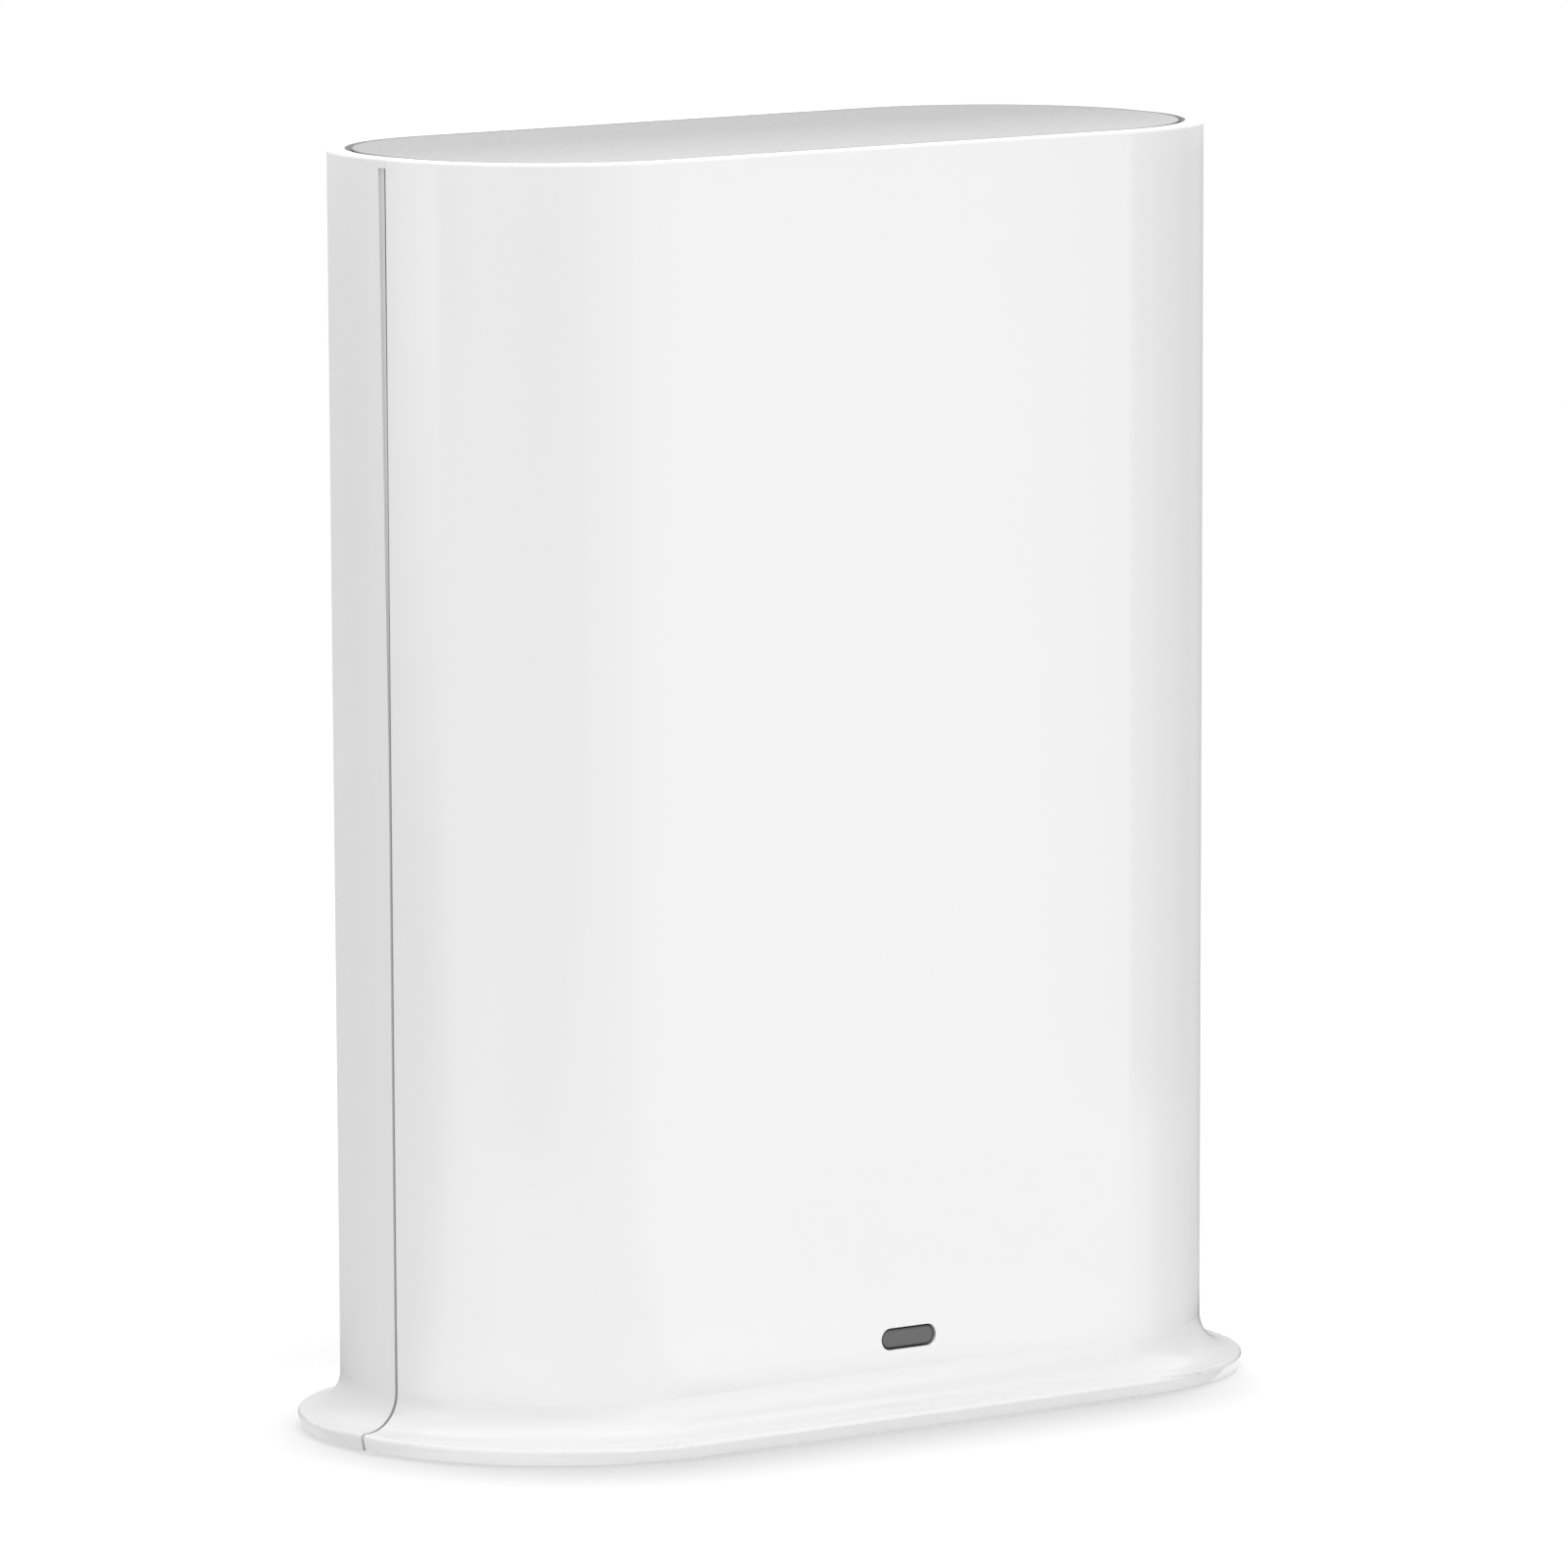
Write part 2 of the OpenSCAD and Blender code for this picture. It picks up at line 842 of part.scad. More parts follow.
module status_lens() {
    color("dimgray")
        translate([0, 0, lens_z]) {
            along_y(lens_face, lens_back)
                slot(lens_w - 2 * lens_gap, lens_h - 2 * lens_gap);
            along_y(front_in, lens_back)
                slot(lens_w + 2 * lens_flange, lens_h + 2 * lens_flange);
        }
}

module light_pipe() {
    color("lightcyan")
        translate([0, 0, lens_z]) {
            along_y(lens_back, pipe_back)
                slot(lens_w, lens_h);
            along_y(pipe_back - pipe_foot_t, pipe_back)
                square([pipe_foot_w, lens_h], center = true);
            for (x = [-peg_x, peg_x])
                translate([x, 0, 0]) {
                    along_y(pipe_back, board_front)
                        square([pipe_leg_w, lens_h], center = true);
                    along_y(board_front, board_rear)
                        circle(d = peg_d);
                }
        }
}

module status_led() {
    color("lemonchiffon")
        translate([0, 0, lens_z])
            along_y(board_front - led_t, board_front)
                square([led_w, led_w / 2], center = true);
}

// Socket panel and board

module socket_panel() {
    color("gainsboro")
        difference() {
            translate([0, 0, port_z]) {
                along_y(panel_back, port_face)
                    round_rect(window_w - 2 * window_gap, window_h - 2 * window_gap,
                        window_r - window_gap);
                along_y(panel_back, back_in)
                    round_rect(window_w + 2 * flange_w, window_h + 2 * flange_w,
                        window_r + flange_w);
            }
            along_y(panel_back - past, port_face + past)
                translate([0, port_z]) {
                    translate([power_x, 0])
                        square([jack_w + 2 * socket_gap, jack_h + 2 * socket_gap], center = true);
                    translate([network_x, 0])
                        square([net_w + 2 * socket_gap, net_h + 2 * socket_gap], center = true);
                    translate([data_x, 0])
                        square([data_w + 2 * socket_gap, data_h + 2 * socket_gap], center = true);
                    translate([reset_x, 0])
                        circle(d = reset_hole);
                    translate([sync_x, 0])
                        circle(d = button_d + 2 * button_gap);
                }
        }
}

module main_board() {
    color("darkgreen")
        difference() {
            along_y(board_front, board_rear)
                translate([0, board_z + board_h / 2])
                    square([board_w, board_h], center = true);
            at_board_screws()
                along_y(board_front - past, board_rear + past)
                    circle(d = board_shank + 2 * well_gap);
            for (x = [-peg_x, peg_x])
                translate([x, 0, lens_z])
                    along_y(board_front - past, board_rear + past)
                        circle(d = peg_d + 2 * peg_gap);
            for (side = [0, 1])
                mirror([side, 0, 0])
                    translate([notch_x, board_front - past, board_z - past])
                        cube([board_w, board_t + 2 * past, notch_z - board_z + past]);
        }
}

module board_screws() {
    color("gainsboro")
        at_board_screws()
            translate([0, board_front, 0])
                rotate([-90, 0, 0])
                    screw(board_head_d, board_head_h, board_shank, board_t + board_len - screw_room);
}

// Flat package on the front of the board
module chip(x, z, w, h, t) {
    along_y(board_front - t, board_front)
        translate([x, z])
            square([w, h], center = true);
}

// Sheet metal can, open towards the board
module can(x, z, w, h, d) {
    difference() {
        chip(x, z, w, h, d);
        along_y(board_front - d + can_sheet, board_front + past)
            translate([x, z])
                square([w - 2 * can_sheet, h - 2 * can_sheet], center = true);
    }
}

module processor() {
    color("black")
        chip(0, sink_z, cpu_w, cpu_w, cpu_t);
}

module memory_chips() {
    color("black")
        for (side = [-1, 1])
            chip(side * ((cpu_w + memory_w) / 2 + memory_gap), sink_z, memory_w, cpu_w, memory_t);
}

module thermal_pad() {
    color("lightsteelblue")
        along_y(can_front + can_sheet, board_front - cpu_t)
            translate([0, sink_z])
                square(cpu_w, center = true);
}

module shield_can() {
    color("lightgray")
        can(0, sink_z, can_w, can_h, can_d);
}

module heat_sink() {
    pitch = (can_w - fin_t) / (fins - 1);
    color("silver") {
        along_y(can_front - sink_base, can_front)
            translate([0, sink_z])
                square([can_w, can_h], center = true);
        for (i = [0 : fins - 1])
            along_y(sink_front, can_front - sink_base)
                translate([i * pitch - can_w / 2, sink_z - can_h / 2])
                    square([fin_t, can_h]);
    }
}

module radio_chip() {
    color("black")
        chip(radio_x, radio_z, radio_w / 3, radio_w / 3, cpu_t);
}

module radio_can() {
    color("lightgray")
        can(radio_x, radio_z, radio_w, radio_h, radio_d);
}

module network_transformer() {
    color("black")
        chip(transformer_x, transformer_z, transformer_w, transformer_h, transformer_d);
}

module power_coil() {
    color("darkslategray")
        chip(coil_x, coil_z, coil_w, coil_w, coil_d);
}

module capacitors() {
    color("royalblue")
        for (i = [0, 1])
            translate([capacitor_x + i * capacitor_pitch, 0, capacitor_z])
                along_y(board_front - capacitor_l, board_front)
                    circle(d = capacitor_d);
}

// Network socket

module network_shield() {
    color("silver")
        difference() {
            along_y(board_rear, port_face)
                translate([network_x, port_z])
                    square([net_w, net_h], center = true);
            along_y(board_rear - past, port_face + past)
                translate([network_x, port_z])
                    square([net_w - 2 * net_sheet, net_h - 2 * net_sheet], center = true);
            translate([network_x - net_w, board_rear + socket_h / 3, port_z - net_window / 2])
                cube([2 * net_w, socket_h / 3, net_window]);
        }
}

module network_insert() {
    face = port_face - net_step;
    color("black")
        difference() {
            along_y(board_rear, face)
                translate([network_x, port_z])
                    square([net_in_w, net_in_h], center = true);
            along_y(face - plug_depth, face + past)
                translate([network_x, plug_z]) {
                    square([plug_w, plug_h], center = true);
                    translate([-latch_w1 / 2, -plug_h / 2 - latch_h])
                        square([latch_w1, latch_h + past]);
                    translate([-latch_w2 / 2, -plug_h / 2 - 2 * latch_h])
                        square([latch_w2, 2 * latch_h + past]);
                }
            along_y(face - plug_depth, face - comb_edge)
                translate([network_x - comb_w / 2, plug_z + plug_h / 2 - past])
                    square([comb_w, comb_h + past]);
        }
}

module network_contacts() {
    ceiling = plug_z + plug_h / 2 + comb_h;
    root = port_face - net_step - comb_edge - comb_gap;
    tail = port_face - net_step - plug_depth + contact_tail;
    color("goldenrod")
        for (i = [0 : contacts - 1])
            translate([network_x + (i - (contacts - 1) / 2) * contact_pitch - contact_w / 2, 0, 0])
                rotate([90, 0, 90])
                    linear_extrude(contact_w)
                        polygon([
                            [root, ceiling],
                            [root - contact_seat, ceiling],
                            [tail, ceiling - comb_h - contact_drop],
                            [tail, ceiling - comb_h - contact_drop - contact_t],
                            [root - contact_seat, ceiling - contact_t],
                            [root, ceiling - contact_t]
                        ]);
}

// Data socket

module data_shell() {
    color("silver")
        difference() {
            along_y(board_rear, port_face)
                translate([data_x, port_z])
                    square([data_w, data_h], center = true);
            along_y(board_rear - past, port_face + past)
                translate([data_x, port_z])
                    square([data_in_w, data_in_h], center = true);
            for (x = [-1, 1])
                translate([data_x + x * data_w / 4 - finger_w / 2,
                        port_face - finger_inset - finger_l, port_z - data_h])
                    cube([finger_w, finger_l, 2 * data_h]);
        }
}

module data_tongue() {
    color("black") {
        along_y(board_rear, board_rear + data_base)
            translate([data_x, port_z])
                square([data_in_w - 2 * data_gap, data_in_h - 2 * data_gap], center = true);
        along_y(board_rear + data_base, port_face - tongue_inset)
            translate([data_x - tongue_w / 2, tongue_z])
                square([tongue_w, tongue_t]);
    }
}

module data_contacts() {
    color("goldenrod")
        for (i = [0 : data_pads - 1])
            along_y(board_rear + data_base, port_face - data_pad_inset)
                translate([data_x + (i - (data_pads - 1) / 2) * data_pad_pitch - data_pad_w / 2,
                        tongue_z - data_pad_t])
                    square([data_pad_w, data_pad_t]);
}

// Power socket

module power_jack() {
    color("black")
        difference() {
            along_y(board_rear, port_face)
                translate([power_x, port_z])
                    square([jack_w, jack_h], center = true);
            along_y(jack_floor, port_face + past)
                translate([power_x, port_z])
                    circle(d = jack_bore);
            along_y(board_rear - past, jack_floor + past)
                translate([power_x, port_z])
                    circle(d = jack_pin + 2 * pilot_gap);
            along_y(jack_floor, port_face - spring_mouth)
                translate([power_x - spring_w / 2 - spring_gap, port_z - jack_bore / 2 - spring_room])
                    square([spring_w + 2 * spring_gap, jack_bore / 2 + spring_room]);
        }
}

module power_pin() {
    tip = jack_pin / 2;
    color("silver")
        translate([power_x, board_rear, port_z])
            rotate([-90, 0, 0])
                rotate_extrude() {
                    square([tip, socket_h - pin_inset - tip]);
                    translate([0, socket_h - pin_inset - tip])
                        quarter_disc(tip);
                }
}

module power_spring() {
    seat = port_z - jack_bore / 2 - spring_room;
    root = jack_floor;
    nose = port_face - spring_nose;
    color("goldenrod")
        translate([power_x - spring_w / 2, 0, 0])
            rotate([90, 0, 90])
                linear_extrude(spring_w)
                    polygon([
                        [root, seat],
                        [root + spring_seat, seat],
                        [nose, seat + spring_room],
                        [nose + spring_mouth, seat + spring_t],
                        [nose + spring_mouth, seat + 2 * spring_t],
                        [nose, seat + spring_room + spring_t],
                        [root + spring_seat, seat + spring_t],
                        [root, seat + spring_t]
                    ]);
}

// Buttons

module sync_button() {
    cap_top = port_face + button_proud;
    flange_top = panel_back - button_rest;
    color("lightgray")
        translate([sync_x, 0, port_z])
            rotate([-90, 0, 0])
                rotate_extrude()
                    polygon([
                        [0, board_rear + sync_switch_h],
                        [button_stem / 2, board_rear + sync_switch_h],
                        [button_stem / 2, flange_top - button_flange_t],
                        [button_d / 2 + button_flange, flange_top - button_flange_t],
                        [button_d / 2 + button_flange, flange_top],
                        [button_d / 2, flange_top],
                        [button_d / 2, cap_top - button_dish],
                        [button_d / 2 - button_dish, cap_top],
                        [0, cap_top]
                    ]);
}

// Body of a key switch on the back of the board
module switch_body(x) {
    translate([x, 0, port_z])
        difference() {
            along_y(board_rear, board_rear + switch_h)
                square(switch_w, center = true);
            along_y(board_rear + plunger_root - button_travel - plunger_gap, board_rear + switch_h + past)
                circle(d = plunger_d + 2 * plunger_gap);
        }
}

module switch_plunger(x, h) {
    translate([x, 0, port_z])
        along_y(board_rear + plunger_root, board_rear + h)
            circle(d = plunger_d);
}

module sync_switch() {
    color("dimgray")
        switch_body(sync_x);
}

module sync_plunger() {
    color("black")
        switch_plunger(sync_x, sync_switch_h);
}

module reset_switch() {
    color("dimgray")
        switch_body(reset_x);
}

module reset_plunger() {
    color("black")
        switch_plunger(reset_x, reset_switch_h);
}

// Antennas

// Flat antenna on the inside of the front wall, with the block that takes its lead
module antenna(x) {
    along_y(front_in, front_in + antenna_t)
        translate([x, antenna_z])
            square([antenna_l, antenna_h], center = true);
    along_y(front_in + antenna_t, front_in + antenna_t + feed_t)
        translate([x, antenna_z])
            square(feed_w, center = true);
}

module antenna_left() {
    color("peru")
        antenna(-antenna_x);
}

module antenna_right() {
    color("peru")
        antenna(antenna_x);
}

module antenna_plugs() {
    color("goldenrod")
        for (x = [-antenna_plug_x, antenna_plug_x])
            chip(x, antenna_plug_z, antenna_plug_w, antenna_plug_w, antenna_plug_t);
}

// Point and direction on a cubic curve with the control points p
function curve(p, t) =
    pow(1 - t, 3) * p[0] + 3 * t * pow(1 - t, 2) * p[1]
    + 3 * t * t * (1 - t) * p[2] + pow(t, 3) * p[3];
function curve_way(p, t) =
    pow(1 - t, 2) * (p[1] - p[0]) + 2 * t * (1 - t) * (p[2] - p[1]) + t * t * (p[3] - p[2]);
function unit(v) = v / norm(v);

// Round lead along a cubic curve, with sides faces round it and steps rings along it
module lead(p, d, sides, steps) {
    across = [1, 0, 0];
    points = [for (i = [0 : steps], k = [0 : sides - 1])
        let (
            way = unit(curve_way(p, i / steps)),
            a = unit(cross(way, across)),
            b = cross(way, a),
            turn = 360 * k / sides
        )
        curve(p, i / steps) + d / 2 * (cos(turn) * a + sin(turn) * b)];
    quads = [for (i = [0 : steps - 1], k = [0 : sides - 1])
        [i * sides + k, i * sides + (k + 1) % sides,
            (i + 1) * sides + (k + 1) % sides, (i + 1) * sides + k]];
    first = [for (k = [sides - 1 : -1 : 0]) k];
    last = [for (k = [0 : sides - 1]) steps * sides + k];
    polyhedron(points, concat([first], quads, [last]));
}

module antenna_leads() {
    lead_sides = 8;
    lead_steps = 18;
    bend = 22;
    color("dimgray")
        for (side = [-1, 1]) {
            plug_end = [side * antenna_plug_x, board_front - antenna_plug_t / 2,
                antenna_plug_z + antenna_plug_w / 2];
            feed_end = [side * antenna_x, front_in + antenna_t + feed_t, antenna_z];
            lead([plug_end, plug_end + [0, 0, bend], feed_end + [0, bend, 0], feed_end],
                lead_d, lead_sides, lead_steps);
        }
}

front_shell();
rear_shell();
top_panel();
base_plate();
rubber_feet();
base_screws();
status_lens();
light_pipe();
status_led();
socket_panel();
main_board();
board_screws();
processor();
memory_chips();
thermal_pad();
shield_can();
heat_sink();
radio_chip();
radio_can();
network_transformer();
power_coil();
capacitors();
network_shield();
network_insert();
network_contacts();
data_shell();
data_tongue();
data_contacts();
power_jack();
power_pin();
power_spring();
sync_button();
sync_switch();
sync_plunger();
reset_switch();
reset_plunger();
antenna_left();
antenna_right();
antenna_plugs();
antenna_leads();
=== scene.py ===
# %% [markdown]
# # A stand-up base station
# This lesson dresses a small white base station for wireless cameras. The shapes come from a CAD
# model, which is loaded as a fixed frame: its pieces stay where they are, and the work here is in
# the finishes, the camera and the light. The first cell keeps the box of the CAD model and prints
# its size.

import math

import bpy
import numpy as np
from mathutils import Matrix, Vector


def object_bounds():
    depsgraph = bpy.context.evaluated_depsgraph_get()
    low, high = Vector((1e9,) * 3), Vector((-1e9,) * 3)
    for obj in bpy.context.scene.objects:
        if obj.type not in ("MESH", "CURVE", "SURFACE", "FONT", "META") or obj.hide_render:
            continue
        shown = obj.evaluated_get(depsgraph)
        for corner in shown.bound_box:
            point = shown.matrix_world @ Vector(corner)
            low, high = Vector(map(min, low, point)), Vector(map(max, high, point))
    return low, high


MM = 0.001
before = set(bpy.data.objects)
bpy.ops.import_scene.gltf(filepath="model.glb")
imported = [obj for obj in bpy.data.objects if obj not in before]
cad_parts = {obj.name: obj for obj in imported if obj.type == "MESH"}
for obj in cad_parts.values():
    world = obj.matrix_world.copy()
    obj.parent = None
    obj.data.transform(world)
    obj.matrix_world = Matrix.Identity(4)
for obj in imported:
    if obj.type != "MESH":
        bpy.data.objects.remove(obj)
cad_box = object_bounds()
print("pieces:", len(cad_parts))
print("CAD box in mm:", [round(side / MM, 2) for side in cad_box[1] - cad_box[0]])

# %% [markdown]
# ## Camera
# The picture was taken with a long lens from the left of the front and a little above it. Such a
# view could be found by eye, but here its angles, its distance and its focal length are the ones
# at which the rim, the seam and the foot of the model fall on their places in a square picture.
# The camera's matrix is put together from its three axes, which also takes the slight roll.

# %% Camera
PICTURE_SIDE = 1600
FOCAL_PIXELS = 13850
SENSOR_WIDTH = 36
CAMERA_AZIMUTH = math.radians(-38.306)
CAMERA_ELEVATION = math.radians(7.114)
CAMERA_ROLL = math.radians(-0.216)
CAMERA_DISTANCE = 1863.7 * MM
CAMERA_FAR = 100
AIM_HEIGHT = 87.4 * MM
AIM_RIGHT = 1.542 * MM
AIM_UP = -2.445 * MM


def camera_axes(azimuth, elevation, roll):
    """Right, up and backward directions of a camera."""
    back = Vector((
        math.sin(azimuth) * math.cos(elevation),
        -math.cos(azimuth) * math.cos(elevation),
        math.sin(elevation),
    ))
    right = Vector((0, 0, 1)).cross(back).normalized()
    up = back.cross(right)
    return (
        right * math.cos(roll) + up * math.sin(roll),
        up * math.cos(roll) - right * math.sin(roll),
        back,
    )


right, up, back = camera_axes(CAMERA_AZIMUTH, CAMERA_ELEVATION, CAMERA_ROLL)
aim = Vector((0, 0, AIM_HEIGHT)) + right * AIM_RIGHT + up * AIM_UP
lens_data = bpy.data.cameras.new("camera")
lens_data.sensor_width = SENSOR_WIDTH
lens_data.lens = SENSOR_WIDTH * FOCAL_PIXELS / PICTURE_SIDE
lens_data.clip_end = CAMERA_FAR
camera = bpy.data.objects.new("camera", lens_data)
stand = Matrix.Translation(aim + back * CAMERA_DISTANCE)
camera.matrix_world = stand @ Matrix((right, up, back)).transposed().to_4x4()
bpy.context.scene.collection.objects.link(camera)
bpy.context.scene.camera = camera
print("lens in mm:", round(lens_data.lens, 1))

# %% [markdown]
# ## Tools for finishes
# A finish is a small network of shader nodes. Placing and linking each node by hand makes long
# code, so two helpers do it. A Wire stands for a socket and takes part in sums: `1 - mask` adds a
# Math node. A Bench owns one node tree, and its `node` method adds any other node, with its
# settings first and then its sockets. Colours go through Mix nodes, because Math would turn them
# grey.

# %% Wire


class Wire:
    """A socket that carries a value, with sums that add Math nodes."""

    def __init__(self, bench, socket):
        self.bench = bench
        self.socket = socket

    def maths(self, operation, first, second):
        return self.bench.node("ShaderNodeMath", {"operation": operation}, {0: first, 1: second})

    def __add__(self, other):
        return self.maths("ADD", self, other)

    def __radd__(self, other):
        return self.maths("ADD", other, self)

    def __sub__(self, other):
        return self.maths("SUBTRACT", self, other)

    def __rsub__(self, other):
        return self.maths("SUBTRACT", other, self)

    def __mul__(self, other):
        return self.maths("MULTIPLY", self, other)

    def __rmul__(self, other):
        return self.maths("MULTIPLY", other, self)

    def __gt__(self, other):
        return self.maths("GREATER_THAN", self, other)


print("sums: add, subtract, multiply, compare")

# %% [markdown]
# The Bench also knows a few things that many finishes need: the place on a piece, soft noise, the
# distance from a box, and how sheltered a point is. Shelter is found by looking round from the
# point for walls close by; the finishes darken sheltered gaps with it, as painted shade.

# %% Bench
COLOUR_RESULT = 2
BEVEL_SAMPLES = 4
SHELTER_SAMPLES = 6
# Share of open directions at which a gap counts as deep, and at which a face counts as open.
DEEP_SHARE = 0.1
OPEN_SHARE = 0.6


class Bench:
    """The node tree of one material or of the world."""

    def __init__(self, owner):
        owner.use_nodes = True
        self.tree = owner.node_tree
        self.tree.nodes.clear()

    def node(self, kind, settings=None, sockets=None, output=0):
        made = self.tree.nodes.new(kind)
        for name, value in (settings or {}).items():
            setattr(made, name, value)
        for key, value in (sockets or {}).items():
            if isinstance(value, Wire):
                self.tree.links.new(value.socket, made.inputs[key])
            else:
                made.inputs[key].default_value = value
        return Wire(self, made.outputs[output]) if made.outputs else None

    def vector(self, operation, first, second, output=0):
        """Vector Math on two vectors."""
        return self.node("ShaderNodeVectorMath", {"operation": operation}, {0: first, 1: second}, output)

    def place(self):
        """Position on the piece, in metres."""
        return self.node("ShaderNodeTexCoord", output="Object")

    def part(self, vector, axis):
        """One of the three numbers of a vector."""
        return self.node("ShaderNodeSeparateXYZ", None, {0: vector}, axis)

    def noise(self, vector, size, detail=2.0, roughness=0.5):
        """Soft spots of about the given size, from 0 to 1."""
        sockets = {"Vector": vector, "Scale": 1 / size, "Detail": detail, "Roughness": roughness}
        return self.node("ShaderNodeTexNoise", None, sockets)

    def cells(self, vector, size, output="Distance"):
        """Distance to the middle of the nearest of many cells of the given size."""
        return self.node("ShaderNodeTexVoronoi", None, {"Vector": vector, "Scale": 1 / size}, output)

    def mix(self, factor, first, second, blend="MIX"):
        settings = {"data_type": "RGBA", "blend_type": blend}
        return self.node("ShaderNodeMix", settings, {0: factor, 6: first, 7: second}, COLOUR_RESULT)

    def uneven(self, factor, level, spread):
        """Grey that goes from a little under a level to a little over it."""
        return self.mix(factor, grey(level * (1 - spread)), grey(level * (1 + spread)))

    def times(self, first, second):
        """Product of two colours."""
        return self.mix(1.0, first, second, "MULTIPLY")

    def reach(self, place, half_sides):
        """Distance from a box of the given half sides round the origin."""
        corner = tuple(-side for side in half_sides)
        inside = self.vector("MINIMUM", self.vector("MAXIMUM", place, corner), half_sides)
        return self.vector("DISTANCE", place, inside, "Value")

    def slope(self, value, start, end):
        """Rises from 0 to 1 while a value goes from start to end."""
        sockets = {"Value": value, "From Min": start, "From Max": end}
        return self.node("ShaderNodeMapRange", None, sockets)

    def shelter(self, distance):
        """1 in the open and 0 deep in a gap, looking as far as a distance."""
        settings = {"samples": SHELTER_SAMPLES}
        share = self.node("ShaderNodeAmbientOcclusion", settings, {"Distance": distance}, "AO")
        return self.slope(share, DEEP_SHARE, OPEN_SHARE)

    def rounded(self, radius):
        """Normal with every edge softened, as a mould leaves it."""
        return self.node("ShaderNodeBevel", {"samples": BEVEL_SAMPLES}, {"Radius": radius})

    def bump(self, height, depth, normal):
        sockets = {"Height": height, "Distance": depth, "Strength": 1.0, "Normal": normal}
        return self.node("ShaderNodeBump", None, sockets)

    def surface(self, sockets):
        shader = self.node("ShaderNodeBsdfPrincipled", None, sockets)
        self.node("ShaderNodeOutputMaterial", None, {"Surface": shader})


def scaled(colour, factor):
    """A colour at another level, opaque."""
    return (factor * colour[0], factor * colour[1], factor * colour[2], 1)


def grey(level):
    return scaled((1, 1, 1), level)


def bench_for(slot):
    """Empty bench on the material that the frame gave to a slot."""
    return Bench(bpy.data.materials[slot])


# %% [markdown]
# ## Polished front shell
# The front half of the case is white plastic from a polished mould. It could be plain glossy
# white, but a real moulding is never quite even: it waves very slightly where it cooled, and its
# gloss changes a little from place to place. Both come from wide noise. The edges are softened
# by a tenth of a millimetre, so that the seam and the window catch a line of light, and the
# colour is darkened where gaps are narrow, as painted shade.

# %% Polished front shell
PLASTIC_IOR = 1.47
MOULD_EDGE = 0.1 * MM
# Painted shade: colour in narrow gaps, found within this reach, is darkened down to this share.
CREVICE_SHADE_REACH = 1.2 * MM
CREVICE_SHADE_LEVEL = 0.62
COOLING_WAVE = 9 * MM
COOLING_DEPTH = 0.002 * MM
TONE_CLOUD = 40 * MM
TONE_SPREAD = 0.005
DUST_SIZE = 0.5 * MM


def polish(slot, level):
    bench = bench_for(slot)
    place = bench.place()
    cloud = bench.noise(place, TONE_CLOUD)
    wave = bench.noise(place, COOLING_WAVE, detail=1.0)
    dust = bench.noise(place, DUST_SIZE, detail=3.0)
    tone = bench.uneven(cloud, level, TONE_SPREAD)
    bench.surface({
        # Painted shade darkens the colour in narrow gaps.
        "Base Color": bench.mix(bench.shelter(CREVICE_SHADE_REACH), grey(CREVICE_SHADE_LEVEL * level), tone),
        "Roughness": 0.07 + 0.03 * cloud + 0.03 * dust,
        "IOR": PLASTIC_IOR,
        "Normal": bench.bump(wave, COOLING_DEPTH, bench.rounded(MOULD_EDGE)),
    })


polish("gloss_shell", 0.85)
print("polished: gloss_shell")

# %% [markdown]
# ## Painted shade along the seam
# On the rear half a shallow step runs beside the seam, widest at the rim and gone half way down.
# Its colour is darkened as painted shade, and in the upper part of the seam the face that looks
# into the gap is painted darker still, as painted shade. Both could be painted on a picture, but
# their edges are straight lines on the CAD model, so two slopes along the depth and the height of
# the case find them.

# %% Painted shade along the seam
SEAM_EDGE = -1.4 * MM
STEP_WIDTH = 1.05 * MM
STEP_BOTTOM = 95.2 * MM
STEP_TOP = 173.2 * MM
# Painted shade: share of the colour on the step, then in the gap beside it near the rim.
STEP_SHADE = 0.8
SEAM_GAP_SHADE = 0.12
SEAM_GAP_SHADE_BOTTOM = 135 * MM
SEAM_GAP_SHADE_FULL = 158 * MM
SHARP = 0.02 * MM


def seam_painted_shade(bench, place):
    """Grey of the painted shade on the step along the seam, and of the darker painted shade in the gap
    beside it near the rim.
    """
    along = bench.part(place, "Y")
    height = bench.part(place, "Z")
    below_rim = bench.slope(height, STEP_TOP + SHARP, STEP_TOP)
    past_step = along - STEP_WIDTH * bench.slope(height, STEP_BOTTOM, STEP_TOP)
    in_step = bench.slope(past_step, SEAM_EDGE, SEAM_EDGE - SHARP)
    in_step = in_step * bench.slope(height, STEP_BOTTOM, STEP_BOTTOM + SHARP)
    in_gap = bench.slope(along, SEAM_EDGE + SHARP, SEAM_EDGE)
    in_gap = in_gap * bench.slope(height, SEAM_GAP_SHADE_BOTTOM, SEAM_GAP_SHADE_FULL)
    step_shaded = bench.mix(below_rim * in_step, grey(1), grey(STEP_SHADE))
    return bench.mix(below_rim * in_gap, step_shaded, grey(SEAM_GAP_SHADE))


print("step in mm:", round((STEP_TOP - STEP_BOTTOM) / MM, 1), "by", round(STEP_WIDTH / MM, 2))

# %% [markdown]
# ## Satin rear shell and grained plastic
# The rear half comes from a mould with a fine eroded skin, which breaks up reflections. The
# skin is real relief of a few thousandths of a millimetre, so it is a bump here and not only a
# higher roughness. The grey panels, the keys and the small black mouldings have the same kind of
# skin with a coarser grain, so one recipe serves them all.

# %% Satin rear shell and grained plastic
FINE_EDGE = 0.06 * MM
SKIN_CLOUD = 25 * MM
SKIN_SPREAD = 0.015


